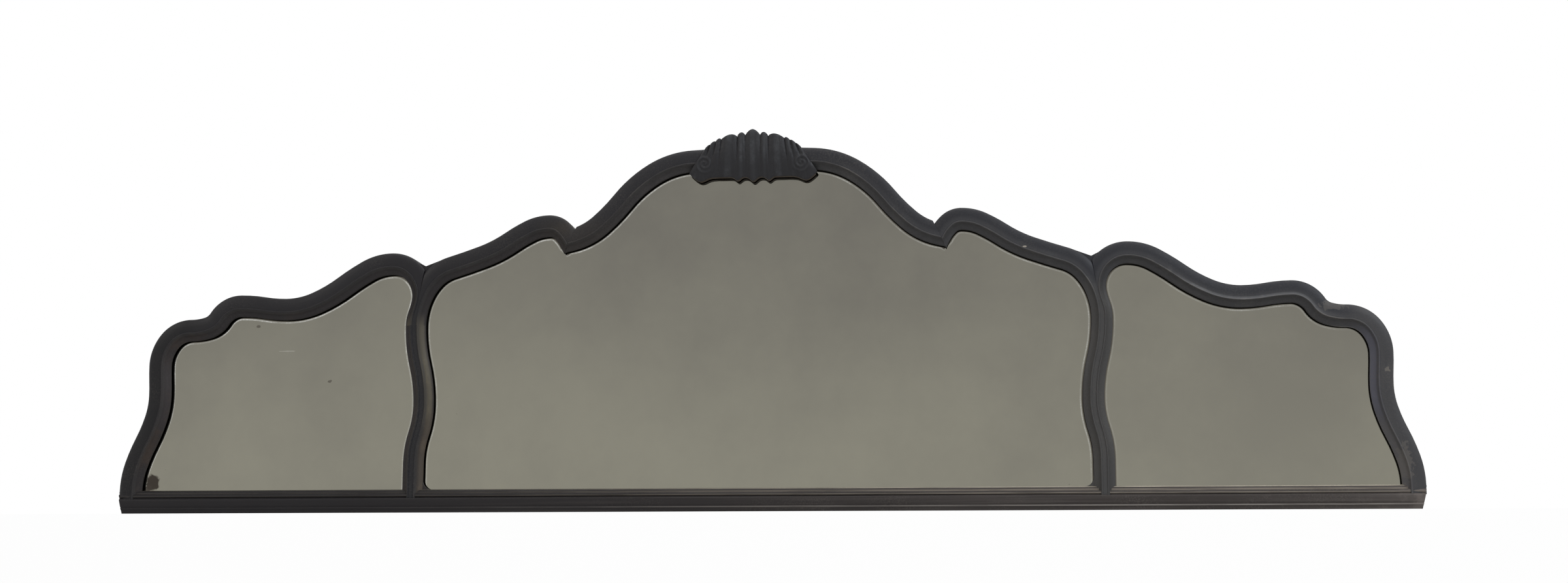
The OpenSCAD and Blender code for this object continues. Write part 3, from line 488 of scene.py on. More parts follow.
# the crowns of the base rail's reeds and bead are paler, rubbed and with a painted highlight where light from above
# catches them, more so towards the right, at heights z and half as wide again
baseRailLook = {
    "brownBlack": (0.034, 0.028, 0.0255), "streak": (0.058, 0.05, 0.046), "endWear": (0.125, 0.105, 0.095),
    "streaks": 0.75, "dust": 0.3, "grain": {"Stretch": 0.02, "Fineness": 0.8}, "front": (-1.0, -2.0),
    "patches": {"Scale": 24.0, "Low": 0.42, "High": 0.66}, "paleX": (-450, 600), "streaksFrom": (0.42, 0.68),
    "crownRubGlintX": (-450, 500), "crownRubGlintFibres": (0.3, 0.6, 0.35, 1.0), "endX": (550, 610), "endPatchy": (0.15, 0.65),
    "patchRough": 0.14, "fibreRelief": (0.4, 0.0003), "patchRelief": (0.2, 0.0004),
    "crownRubsAndGlints": [
        {"z": 24.0, "half": 0.7, "left": 0.08, "right": 1.0, "tone": (0.4, 0.36, 0.29)},
        {"z": 21.2, "half": 1.2, "left": 0.08, "right": 0.8, "tone": (0.23, 0.2, 0.165)},
        {"z": 18.0, "half": 0.9, "left": 0.1, "right": 0.85, "tone": (0.27, 0.24, 0.2)},
        {"z": 6.3, "half": 0.8, "left": 0.0, "right": 0.7, "tone": (0.24, 0.22, 0.2)},
    ],
}


def makeBaseTimber():
    material, tree, wood, place = startMaterial("baseTimber", {"Specular IOR Level": timberLook["specular"]})
    parts = splitPlace(tree, place)
    x, y, z = (times(tree, parts[axis], perMetre) for axis in "XYZ")
    look = baseRailLook
    grain = useGroup(tree, grainGroup, Along=x, Across=z, Depth=y, **look["grain"])
    patches = useGroup(tree, wearGroup, Place=place, **look["patches"])
    front = rangeNode(tree, y, *look["front"])
    rightward = rangeNode(tree, x, *look["paleX"])
    finish = mixColour(tree, rightward, timberLook["black"], look["brownBlack"])
    streaks = times(tree, rangeNode(tree, grain["Streak"], *look["streaksFrom"]), rightward, look["streaks"])
    finish = mixColour(tree, streaks, finish, look["streak"])
    # painted highlight with rubbed wear along each crown
    for reed in look["crownRubsAndGlints"]:
        line = mathNode(tree, "ABSOLUTE", mathNode(tree, "SUBTRACT", z, reed["z"]))
        share = times(tree, rangeNode(tree, line, reed["half"], reed["half"] * 0.4), front,
                      rangeNode(tree, x, *look["crownRubGlintX"], reed["left"], reed["right"]),
                      rangeNode(tree, grain["Fibre"], *look["crownRubGlintFibres"]))
        finish = mixColour(tree, share, finish, reed["tone"])
    endWear = times(tree, rangeNode(tree, x, *look["endX"]), between(tree, patches["Patch"], *look["endPatchy"]), front)
    finish = mixColour(tree, endWear, finish, look["endWear"])
    dusty = times(tree, patches["Dust"], patches["Patch"], rightward, look["dust"])
    finish = mixColour(tree, dusty, finish, timberLook["wearAndGlint"])
    rough = mathNode(tree, "ADD", times(tree, patches["Patch"], look["patchRough"]), timberLook["roughness"])
    finishTimber(tree, wood, look, finish, rough, grain, patches)
    return material


crestLook = {
    "dark": (0.0158, 0.0144, 0.0162), "slate": (0.0205, 0.0212, 0.0228), "line": (0.075, 0.078, 0.084),
    "underside": (0.07, 0.05, 0.038), "streaks": 0.8, "rub": 0.4, "dust": 0.12, "footShare": 0.8,
    "grain": {"Stretch": 0.05, "Fineness": 0.7}, "patches": {"Scale": 40.0, "Low": 0.4, "High": 0.66},
    "rubFrom": (0.75, 1.0), "rubPatchy": (0.25, 1.0), "patchRough": 0.15, "fibreRelief": (0.35, 0.0003),
    "patchRelief": (0.3, 0.0005),
}


def makeCrestTimber():
    material, tree, wood, place = startMaterial("crestTimber", {"Specular IOR Level": timberLook["specular"]})
    along, across, crown, foot = (numberFrom(tree, name) for name in ("along", "across", "crown", "foot"))
    look = crestLook
    grain = useGroup(tree, grainGroup, Along=across, Across=along, **look["grain"])
    patches = useGroup(tree, wearGroup, Place=place, **look["patches"])
    finish = mixColour(tree, times(tree, grain["Streak"], look["streaks"]), look["dark"], look["slate"])
    ridge = times(tree, rangeNode(tree, crown, *look["rubFrom"]), between(tree, patches["Patch"], *look["rubPatchy"]),
                  look["rub"])
    finish = mixColour(tree, ridge, finish, look["line"])
    finish = mixColour(tree, times(tree, patches["Dust"], patches["Patch"], look["dust"]), finish, look["line"])
    # painted light: the underside of the foot, in shade under the crest, is painted a lit brown
    finish = mixColour(tree, times(tree, foot, look["footShare"]), finish, look["underside"])
    rough = mathNode(tree, "ADD", times(tree, patches["Patch"], look["patchRough"]), timberLook["roughness"])
    finishTimber(tree, wood, look, finish, rough, grain, patches)
    return material


# silvered glass, dulled with age, with a painted reflection darker towards the top; a dark gap, painted shadow of the
# lip and worn silvering, and then a pale line, a painted reflection, run beside the timber
mirrorLook = {
    "silver": (0.252, 0.243, 0.196), "dullAndDarkerUp": (0.158, 0.151, 0.131), "edge": (0.4, 0.39, 0.35),
    "rim": (0.6, 0.6, 0.57), "spot": (0.05, 0.042, 0.035), "patch": (0.036, 0.029, 0.024),
    "roughness": 0.035, "dullShare": 0.45, "speckShare": 0.5, "gritShare": 0.35, "lineShare": 0.8,
    "clouds": {"Scale": 3.2, "Low": 0.3, "High": 0.72}, "darkerUp": (30, 300, 0.0, 0.6),
    "specks": {"Spread": 34.0, "Size": 0.022, "Chance": 0.22}, "grit": {"Spread": 150.0, "Size": 0.03, "Chance": 0.12},
    "gap": (1.7, 0.7), "gapX": (450, 550, 0.75, 0.0), "lineIn": (1.2, 1.9), "lineOut": (3.2, 2.3),
    "lineX": (-360, 300, 1.0, 0.55), "lineEnd": (580, 530), "mullionX": [(338, 332, 0.3, 1.0), (370, 420, 0.3, 1.0)],
    "linePatches": {"Scale": 14.0, "Low": 0.4, "High": 0.62}, "linePatchy": (0.3, 1.0), "lineDust": (0, 0.6, 0.6, 1.0),
    "ripple": 5, "rippleRelief": (0.05, 0.001),
}
plateMarks = {
    "cornerLoss": {"x": -597.5, "z": 32.6, "wide": 7.8, "high": 9.0, "ragged": 0.35, "strength": 0.95, "tone": "patch"},
    "cornerSpot": {"x": -601.6, "z": 27.1, "wide": 4.5, "high": 3.5, "ragged": 0.8, "strength": 0.9, "tone": "spot"},
    "speckOne": {"x": -495.9, "z": 187.0, "wide": 2.0, "high": 1.6, "ragged": 0.9, "strength": 0.6, "tone": "spot"},
    "speckTwo": {"x": -421.8, "z": 131.5, "wide": 2.4, "high": 1.6, "ragged": 0.9, "strength": 0.6, "tone": "spot"},
    "scratch": {"x": -465.4, "z": 162.0, "wide": 9.0, "high": 0.5, "ragged": 0.5, "strength": 0.5, "tone": "edge"},
}


def makeMirrorSilver():
    material, tree, silver, place = startMaterial("agedMirror", {"Metallic": 1})
    parts = splitPlace(tree, place)
    x, rim = times(tree, parts["X"], perMetre), numberFrom(tree, "rim")
    look = mirrorLook
    clouds = useGroup(tree, wearGroup, Place=place, **look["clouds"])
    dullAndDarkerUp = times(tree, clouds["Patch"], look["dullShare"])
    # painted reflection: the silver is darker towards the top
    dullAndDarkerUp = mathNode(tree, "ADD", dullAndDarkerUp, rangeNode(tree, times(tree, parts["Z"], perMetre), *look["darkerUp"]), True)
    tone = mixColour(tree, dullAndDarkerUp, look["silver"], look["dullAndDarkerUp"])
    specks = useGroup(tree, spotsGroup, Place=place, **look["specks"])
    tone = mixColour(tree, times(tree, specks["Speck"], look["speckShare"]), tone, look["spot"])
    grit = useGroup(tree, spotsGroup, Place=place, **look["grit"])
    tone = mixColour(tree, times(tree, grit["Speck"], look["gritShare"]), tone, look["edge"])
    # the dark gap, a painted shadow of the lip with worn silvering, fades towards the right, and the pale line, a
    # painted reflection, is weaker there, beside the right mullion most
    gap = times(tree, rangeNode(tree, rim, *look["gap"]), rangeNode(tree, x, *look["gapX"]))
    tone = mixColour(tree, gap, tone, look["spot"])
    offMullion = mathNode(tree, "MAXIMUM", *(rangeNode(tree, x, *fade) for fade in look["mullionX"]))
    comes = useGroup(tree, wearGroup, Place=place, **look["linePatches"])
    line = times(tree, rangeNode(tree, rim, *look["lineIn"]), rangeNode(tree, rim, *look["lineOut"]),
                 rangeNode(tree, x, *look["lineX"]), rangeNode(tree, x, *look["lineEnd"]), offMullion,
                 rangeNode(tree, clouds["Dust"], *look["lineDust"]),
                 between(tree, comes["Patch"], *look["linePatchy"]), look["lineShare"])
    tone = mixColour(tree, line, tone, look["rim"])
    feed(tree, silver["Base Color"], addMarks(tree, tone, plateMarks, look, place))
    feed(tree, silver["Roughness"], between(tree, clouds["Dust"], look["roughness"], look["roughness"] + 0.05))
    feed(tree, silver["Normal"], bumpNode(tree, noiseNode(tree, place, look["ripple"]), *look["rippleRelief"]))
    return material


# the back: raw timber with its fibres along X, or along Z where turned, and tarnished metal
rawTimbers = {
    "backboardTimber": {"pale": (0.32, 0.2, 0.105), "dark": (0.19, 0.11, 0.055), "roughness": 0.68, "turned": False},
    "softwood": {"pale": (0.5, 0.36, 0.2), "dark": (0.34, 0.22, 0.11), "roughness": 0.62, "turned": True},
}
rawWear = {
    "grain": {"Stretch": 0.012, "Fineness": 0.35}, "patches": {"Scale": 9.0, "Low": 0.4, "High": 0.7},
    "paleFrom": (0.3, 0.7), "pores": (0.5, 0.4), "stains": (0.35, 0.6), "fibreRough": 0.2, "fibreRelief": (0.5, 0.0003),
}
metals = {
    "pinSteel": {"bright": (0.42, 0.41, 0.4), "tarnish": (0.12, 0.09, 0.07), "roughness": 0.35, "share": 0.6},
    "hangerBrass": {"bright": (0.52, 0.38, 0.16), "tarnish": (0.16, 0.11, 0.055), "roughness": 0.3, "share": 0.75},
}
metalWear = {"patches": {"Scale": 180.0, "Low": 0.4, "High": 0.62}, "rougher": 0.22, "relief": (0.15, 0.0001)}


def makeRawTimber(name):
    look = rawTimbers[name]
    dark = look["dark"]
    material, tree, wood, place = startMaterial(name)
    scaled = addNode(tree, "ShaderNodeVectorMath", {0: place, "Scale": perMetre}, operation="SCALE").outputs[0]
    parts = splitPlace(tree, scaled)
    first, second = ("Z", "X") if look["turned"] else ("X", "Z")
    grain = useGroup(tree, grainGroup, Along=parts[first], Across=parts[second], Depth=parts["Y"], **rawWear["grain"])
    patches = useGroup(tree, wearGroup, Place=place, **rawWear["patches"])
    tone = mixColour(tree, rangeNode(tree, grain["Fibre"], *rawWear["paleFrom"]), dark, look["pale"])
    for share, strength, darker in ((grain["Pore"], *rawWear["pores"]), (patches["Patch"], *rawWear["stains"])):
        tone = mixColour(tree, times(tree, share, strength), tone, tuple(c * darker for c in dark))
    feed(tree, wood["Base Color"], tone)
    rough = mathNode(tree, "ADD", times(tree, grain["Fibre"], rawWear["fibreRough"]), look["roughness"] - 0.1)
    feed(tree, wood["Roughness"], rough)
    feed(tree, wood["Normal"], bumpNode(tree, grain["Fibre"], *rawWear["fibreRelief"]))
    return material


def makeMetal(name):
    look = metals[name]
    material, tree, metal, place = startMaterial(name, {"Metallic": 1})
    patches = useGroup(tree, wearGroup, Place=place, **metalWear["patches"])
    tone = mixColour(tree, times(tree, patches["Patch"], look["share"]), look["bright"], look["tarnish"])
    feed(tree, metal["Base Color"], tone)
    smooth = look["roughness"]
    feed(tree, metal["Roughness"], between(tree, patches["Patch"], smooth, smooth + metalWear["rougher"]))
    feed(tree, metal["Normal"], bumpNode(tree, patches["Dust"], *metalWear["relief"]))
    return material


mouldingTimber = makeMouldingTimber()
baseTimber = makeBaseTimber()
crestTimber = makeCrestTimber()
mirrorSilver = makeMirrorSilver()
backFinishes = {name: makeRawTimber(name) for name in rawTimbers} | {name: makeMetal(name) for name in metals}
print("materials made")

# the lines of the frame: stations [x, height, heading in degrees] on the right-hand side
frameLines = {
    "stile": [(617, 24.4, 90), (604, 72, 116), (591.8, 118, 90), (593, 148, 90), (562, 183.2, 180), (534, 194.5, 122)],
    "wing": [(534, 194.5, 122), (512, 207, 180), (466, 203, 180), (407.5, 225.5, 143.5), (359, 247, 180)],
    "outerArm": [(359, 247, 180), (328.9, 208, 281), (333.9, 185, 270)],
    "mullion": [(333.3, 24.4, 90), (333.3, 50, 90), (324.7, 107, 90), (334.5, 185, 90)],
    "innerArm": [(335.1, 185, 90), (329.2, 214, 113), (300, 242.5, 163)],
    "shoulder": [(300, 242.5, 163), (240, 267.5, 146), (202, 282.5, 180), (181.5, 266.5, 243)],
    "arch": [(179, 268.5, 166), (129.5, 305.8, 129), (60, 344.8, 177), (0, 346, 180)],
}
moulding = {
    "width": 21.2, "mullionWidth": 20.0, "ridge": -11.0, "back": 11.0, "beadWidth": 1.6, "beadHeight": 0.8,
    "bandDrop": 4.0, "coveWidth": 6.2, "coveDepth": 6.8, "coveFlat": 0.5, "quirk": 0.35, "lip": 2.7, "rebate": 5.0,
    "boardStep": 1.5, "boardRecess": 2.0, "boardThick": 3.0, "edgeRound": 1.1, "sightRound": 0.35,
    "turnStep": 3.5, "runStep": 12, "roundSteps": 8, "head": (334.5, 185), "valley": (325.5, 244.2),
    "webCorner": (332.8, 247.9), "webDrop": 0.4, "notchValley": (174.5, 281.0), "notchHook": (186.0, 257.0),
    "notchRun": 12, "footDepth": 9.0, "footWeb": 9.0, "footSink": 2,
}
baseHeight = 24.4
halfRail = moulding["width"] / 2
halfMullion = moulding["mullionWidth"] / 2
bandDepth = moulding["ridge"] + moulding["beadHeight"]
edgeDepth = bandDepth + moulding["bandDrop"]
lipDepth = moulding["ridge"] + moulding["coveDepth"]
glassDepth = lipDepth + moulding["lip"]
boardDepth = moulding["back"] - moulding["boardRecess"] - moulding["boardThick"]


def headingVector(angle):
    return Vector((cos(radians(angle)), sin(radians(angle))))


def leftOf(v):
    return Vector((-v.y, v.x))


def arcFrom(p, t, q):
    # the arc from p along t to q as (centre, radius, start angle, turn), or (start, 0, heading, length)
    w = q - p
    side = leftOf(t).dot(w)
    if abs(side) < 0.001 * w.length:
        return (p, 0.0, degrees(atan2(w.y, w.x)), w.length)
    r = w.dot(w) / (2 * side)
    c = p + leftOf(t) * r
    start = degrees(atan2(p.y - c.y, p.x - c.x))
    turn = degrees(atan2(q.y - c.y, q.x - c.x)) - start
    while r > 0 and turn < 0:
        turn += 360
    while r < 0 and turn > 0:
        turn -= 360
    return (c, r, start, turn)


def arcsOf(*lines):
    # two arcs from each station to the next, which meet smoothly
    found = []
    for stations in (frameLines[line] for line in lines):
        for s, e in zip(stations, stations[1:]):
            p, q, t, u = Vector(s[:2]), Vector(e[:2]), headingVector(s[2]), headingVector(e[2])
            v = q - p
            k = 2 * (1 - t.dot(u))
            vt = v.dot(t + u)
            if abs(k) < 1e-6:
                d = v.dot(v) / (4 * v.dot(u))
            else:
                d = (sqrt(vt * vt + k * v.dot(v)) - vt) / k
            m = (p + q + (t - u) * d) / 2
            found.append(arcFrom(p, t, m))
            c, r, start, turn = arcFrom(q, -u, m)
            if r == 0:
                found.append((c + headingVector(start) * turn, 0.0, start + 180, turn))
            else:
                found.append((c, -r, start + turn, -turn))
    return found


def headingAfter(angle, radius):
    return angle + (90 if radius > 0 else -90 if radius < 0 else 0)


def runsOf(arcs, startRun, endRun):
    # where a line starts and its heading there, and its arcs with a straight run before and after
    centre, radius, angle, turn = arcs[0]
    heading = headingAfter(angle, radius)
    before = [(centre, 0.0, heading, startRun)] if startRun else []
    after = [(None, 0.0, None, endRun)] if endRun else []
    return centre + headingVector(angle) * abs(radius), heading, before + list(arcs) + after


# a section is (place to the left of the line, depth, distance across the face from the sight edge),
# and past the face that distance only carries the grain on over the hidden sides
def railSection():
    h, width, steps = halfRail, moulding["width"], 12
    bandWidth = width - moulding["coveWidth"] - moulding["beadWidth"]
    points = [(-h, moulding["back"], 3 + width + moulding["back"] - edgeDepth),
              (-h, edgeDepth + moulding["edgeRound"], width + 1)]
    for i in range(1, steps):
        f = (i / steps) ** 1.5
        depth = edgeDepth - moulding["bandDrop"] * sqrt(1 - (1 - f) ** 2)
        points.append((-h + bandWidth * f, depth, width - bandWidth * f))
    return points + beadAndCove(h) + rebateSteps(h)


def beadAndCove(h):
    cove, r, steps = moulding["coveWidth"], moulding["beadWidth"] / 2, moulding["roundSteps"]
    quirk, flat, soft = moulding["quirk"], moulding["coveFlat"], moulding["sightRound"]
    points = []
    for i in range(steps):
        a = pi * i / steps
        out = cove + r + r * cos(a)
        points.append((h - out, bandDepth - moulding["beadHeight"] * sin(a) ** 0.8, out))
    for i in range(steps):
        # part way between a quarter round and a straight slope
        a = radians(90 * i / steps)
        out = cove * (cos(a) + flat * (1 - i / steps - cos(a)))
        deep = sin(a) + flat * (i / steps - sin(a))
        points.append((h - out, moulding["ridge"] + quirk + (moulding["coveDepth"] - quirk) * deep, out))
    return points + [(h - soft, lipDepth - 0.02, soft), (h, lipDepth + soft, -0.2)]


def rebateSteps(h):
    wall = h - moulding["rebate"]
    deepWall = wall - moulding["boardStep"]
    return [(h, glassDepth, -3), (wall, glassDepth, -8), (wall, boardDepth, -15), (deepWall, boardDepth, -17),
            (deepWall, moulding["back"], -22)]


def mullionSection():
    beadEdge = moulding["coveWidth"] + moulding["beadWidth"] + 0.3
    half = [(halfMullion - beadEdge, bandDepth, beadEdge)] + beadAndCove(halfMullion) + rebateSteps(halfMullion)
    return half + [(-x, y, a) for x, y, a in reversed(half)]


def startPiece():
    bm = bmesh.new()
    for name in ("along", "across", "beside"):
        bm.verts.layers.float.new(name)
    return bm


def placeSection(bm, section, p, heading, along):
    # a loop of edges across the line at p
    side = leftOf(headingVector(heading))
    layers = [bm.verts.layers.float[name] for name in ("along", "across", "beside")]
    verts = []
    for off, depth, across in section:
        v = bm.verts.new(((p.x + off * side.x) * mm, depth * mm, (p.y + off * side.y) * mm))
        for layer, value in zip(layers, (along, across, off)):
            v[layer] = value
        verts.append(v)
    return [bm.edges.new((a, b)) for a, b in zip(verts, verts[1:] + verts[:1])]


def sweepSection(bm, section, arcs, startRun=0.0, endRun=0.0):
    # spins the section round each arc in turn, and closes its ends
    alongLayer = bm.verts.layers.float["along"]
    p, heading, runs = runsOf(arcs, startRun, endRun)
    done = -startRun
    first = placeSection(bm, section, p - headingVector(heading) * startRun, heading, done)
    ring = list(first)
    for centre, radius, angle, turn in runs:
        if radius == 0:
            way = headingVector(heading if angle is None else angle)
            steps = max(1, ceil(turn / moulding["runStep"]))
        else:
            steps = max(2, ceil(abs(turn) / moulding["turnStep"]))
        for i in range(steps):
            if radius == 0:
                length = turn / steps
                ring, fresh = carryOn(bm, ring, (way.x * length * mm, 0, way.y * length * mm))
            else:
                length = abs(radians(turn) * radius) / steps
                found = spinStep(bm, ring, centre, turn / steps)
                ring, fresh = edgesOf(found), vertsOf(found)
            done += length
            for v in fresh:
                v[alongLayer] = done
        if radius:
            heading = headingAfter(angle + turn, radius)
    closeRims(bm, first, ring)


def bisectAt(bm, a, b, keepLeft, geom):
    # cuts along the line from a to b and keeps one side
    side = leftOf((b - a).normalized())
    outward = -side if keepLeft else side
    bmesh.ops.bisect_plane(bm, geom=geom, dist=1e-7, plane_co=(a.x * mm, 0, a.y * mm),
                           plane_no=(outward.x, 0, outward.y), clear_outer=True)
    return side


def cutAt(bm, start, end, keepLeft):
    a, b = Vector(moulding[start]), Vector(moulding[end])
    side = bisectAt(bm, a, b, keepLeft, allOf(bm))
    onCut = {v for v in bm.verts if abs((Vector((v.co.x, v.co.z)) - a * mm).dot(side)) < 1e-6}
    closeRims(bm, [e for e in bm.edges if e.is_boundary and all(v in onCut for v in e.verts)])


def plateOf(bm, outline, front, back, across, soft=0.6):
    # a flat piece with its front edge eased
    layer = bm.verts.layers.float["across"]
    verts = [bm.verts.new((x * mm, back * mm, z * mm)) for x, z in outline]
    out = bmesh.ops.extrude_face_region(bm, geom=[bm.faces.new(verts)])["geom"]
    fresh, rim = vertsOf(out), edgesOf(out)
    bmesh.ops.translate(bm, vec=(0, (front - back) * mm, 0), verts=fresh)
    for v in verts + fresh:
        v[layer] = across
    if soft:
        bmesh.ops.bevel(bm, geom=rim, offset=soft * mm, offset_type="OFFSET", segments=3, profile=0.5,
                        affect="EDGES", material=-1)


def besideStation(station, off):
    p = Vector(station[:2]) + leftOf(headingVector(station[2])) * off
    return (p.x, p.y)


def joinInto(bm, part):
    # adds a finished part to a piece
    mesh = bpy.data.meshes.new("part")
    part.to_mesh(mesh)
    part.free()
    bm.from_mesh(mesh)
    bpy.data.meshes.remove(mesh)


def finishSide(bm, name, side, node):
    if side == "left":
        flipAcross(bm, bm.verts)
    finishPiece(bm, side + name, mouldingTimber, side + "_" + node)


def makeStile(side):
    bm = startPiece()
    sweepSection(bm, railSection(), arcsOf("stile"), startRun=moulding["footDepth"])
    finishSide(bm, "StileMoulding", side, "end_stile")


def makeWingRail(side):
    bm = startPiece()
    sweepSection(bm, railSection(), arcsOf("wing"))
    finishSide(bm, "WingMoulding", side, "wing_rail")


def makeMullion(side):
    bm = startPiece()
    sweepSection(bm, mullionSection(), arcsOf("mullion"), startRun=moulding["footDepth"])
    for line, keepLeft in (("outerArm", False), ("innerArm", True)):
        arm = startPiece()
        sweepSection(arm, railSection(), arcsOf(line))
        cutAt(arm, "head", "valley", keepLeft)
        joinInto(bm, arm)
    # a web fills the fork of the two arms, and another the corner between the stem and the base rail
    innerArm = frameLines["innerArm"]
    web = [innerArm[1][:2], moulding["webCorner"], moulding["valley"], besideStation(innerArm[2], -halfRail)]
    plateOf(bm, web, edgeDepth + moulding["webDrop"], moulding["back"] - 0.05, moulding["width"] - 0.2)
    footX, r, sink = frameLines["mullion"][0][0] - halfMullion, moulding["footWeb"], moulding["footSink"]
    foot = [(footX + sink, baseHeight - sink), (footX + sink, baseHeight + r)]
    foot += [(footX - r * (1 - cos(radians(a))), baseHeight + r * (1 - sin(radians(a)))) for a in range(0, 91, 10)]
    foot += [(footX - r, baseHeight - sink)]
    plateOf(bm, foot, lipDepth + 0.3, glassDepth - 0.01, 1, 0.5)
    finishSide(bm, "MullionMoulding", side, "mullion")


def makeShoulderRail(side):
    bm = startPiece()
    sweepSection(bm, railSection(), arcsOf("shoulder"), endRun=moulding["notchRun"])
    cutAt(bm, "notchValley", "notchHook", True)
    finishSide(bm, "ShoulderMoulding", side, "shoulder_rail")


def addOtherHalf(bm, gap):
    other = bmesh.ops.duplicate(bm, geom=allOf(bm))
    flipAcross(bm, vertsOf(other["geom"]))
    bmesh.ops.remove_doubles(bm, verts=bm.verts, dist=gap)


def makeArchRail():
    bm = startPiece()
    sweepSection(bm, railSection(), arcsOf("arch"), startRun=moulding["notchRun"])
    cutAt(bm, "notchValley", "notchHook", False)
    inner = [f for f in bm.faces if all(abs(v.co.x) < 1e-6 for v in f.verts)]
    bmesh.ops.delete(bm, geom=inner, context="FACES_ONLY")
    addOtherHalf(bm, 2e-6)
    finishPiece(bm, "archMoulding", mouldingTimber, "arch_rail")


for side in ("left", "right"):
    makeStile(side)
    makeWingRail(side)
    makeMullion(side)
    makeShoulderRail(side)
makeArchRail()
print("mouldings swept")

# base rail: its section as (depth, height), from the back round the front
baseRail = {
    "halfLength": 628.0, "rake": 6.5, "segments": 96,
    "section": [
        (11, 0), (11, 17.9), (6, 17.9), (6, 19.4), (-1.5, 19.4), (-1.5, 24.1), (-1.8, 24.4), (-4.0, 24.4),
        (-4.5, 24.25), (-4.9, 24.0), (-5.6, 23.55), (-6.4, 23.1), (-6.95, 22.6), (-7.2, 22.0), (-7.2, 21.2),
        (-7.35, 20.7), (-7.9, 20.45), (-8.8, 20.3), (-9.6, 19.9), (-10.1, 19.3), (-10.2, 18.6), (-10.15, 18.0),
        (-9.9, 17.6), (-9.4, 17.1), (-9.2, 16.8), (-9.25, 16.4), (-9.6, 16.15), (-10.6, 16.05), (-11.3, 15.8),
        (-11.75, 15.4), (-11.95, 15.0), (-12.15, 14.0), (-12.3, 12.4), (-12.38, 11), (-12.45, 9.8), (-12.45, 8.8),
        (-12.3, 8.2), (-12.1, 7.7), (-12.1, 7.4), (-12.3, 7.2), (-12.6, 7.05), (-12.85, 6.7), (-12.9, 6.3),
        (-12.85, 5.9), (-12.6, 5.55), (-12.3, 5.3), (-12.15, 5.0), (-12.15, 0.5), (-11.8, 0),
    ],
}


def makeBaseRail():
    half = baseRail["halfLength"] * mm
    bm = bmesh.new()
    verts = [bm.verts.new((-half, y * mm, z * mm)) for y, z in baseRail["section"]]
    first = [bm.edges.new((a, b)) for a, b in zip(verts, verts[1:] + verts[:1])]
    ring = list(first)
    for i in range(baseRail["segments"]):
        ring = carryOn(bm, ring, (2 * half / baseRail["segments"], 0, 0))[0]
    closeRims(bm, first, ring)
    slope = atan2(baseRail["rake"], baseHeight)
    for sign in (-1, 1):
        bmesh.ops.bisect_plane(bm, geom=allOf(bm), dist=1e-7, plane_co=(sign * half, 0, baseHeight * mm),
                               plane_no=(sign * cos(slope), 0, -sin(slope)), clear_outer=True)
        closeRims(bm, [e for e in bm.edges if e.is_boundary])
    finishPiece(bm, "baseMoulding", baseTimber, "base_rail")


makeBaseRail()
print("base rail made")

# crest: widths of the lobes along its top edge, from half of the middle one outwards, and the ribs below them
crest = {
    "lobes": [7.3, 8, 15.7, 5.6, 5.6, 4.8], "lowHalf": 63.0, "lowZ": 327.4, "sideZ": 355.8, "topZ": 373.4,
    "scallop": 4.0, "peak": 3.0, "peakWidth": 7, "cornerRise": 4.5, "tipDrop": 4.4, "curl": 4.0, "curlIn": 11,
    "curlWidth": 7, "edge": 1.0, "swell": 2.95, "rib": 1.85, "scroll": 1.0, "scrollRadius": 7.5, "scrollIn": 15.5,
    "scrollUp": 12.5, "seat": -6.0, "footTaper": 0.6, "footBack": -1.7, "footTop": 332.5, "footIn": 0.8,
    "coarseMarks": 0.12, "fineMarks": 0.1, "edgeDrop": 0.5, "edgeWidth": 0.9, "tipWidths": (4, 3.4), "sideTip": 0.8,
    "cornerPower": 24, "archPower": 2.8, "grooveSoftness": 0.6, "ribSoftness": 0.7, "scrollClear": 1.3,
    "ridgeWidth": 1.4, "seatGap": 0.5, "footShade": 1.5, "columns": 240, "rows": 60,
}
crestHalf = sum(crest["lobes"])


def hill(d, w):
    return exp(-(d / w) ** 2)


def lobeAt(x):
    # height of the rib between 0 at the grooves and 1 at its crown
    start = 0.0
    x = abs(x)
    for k, width in enumerate(crest["lobes"]):
        if x <= start + width + 1e-9:
            f = (x - start) / width
            return max(0.0, sin(pi / 2 + pi / 2 * f) if k == 0 else sin(pi * f))
        start += width
    return 0.0


def scrollRidge(x, z):
    # each scroll winds inwards from its foot, outwards and over
    d = sqrt(x * x + z * z)
    turn = ((degrees(atan2(z, x)) + 90) % 360) / 360
    arms = [(turn, 1.0), (turn + 1, 1.0), (turn - 1, max(0.0, turn * 2.5 - 1.5))]
    width = crest["ridgeWidth"]
    return max(share * hill(d - crest["scrollRadius"] * (1.1 - 0.55 * wound), width) for wound, share in arms)


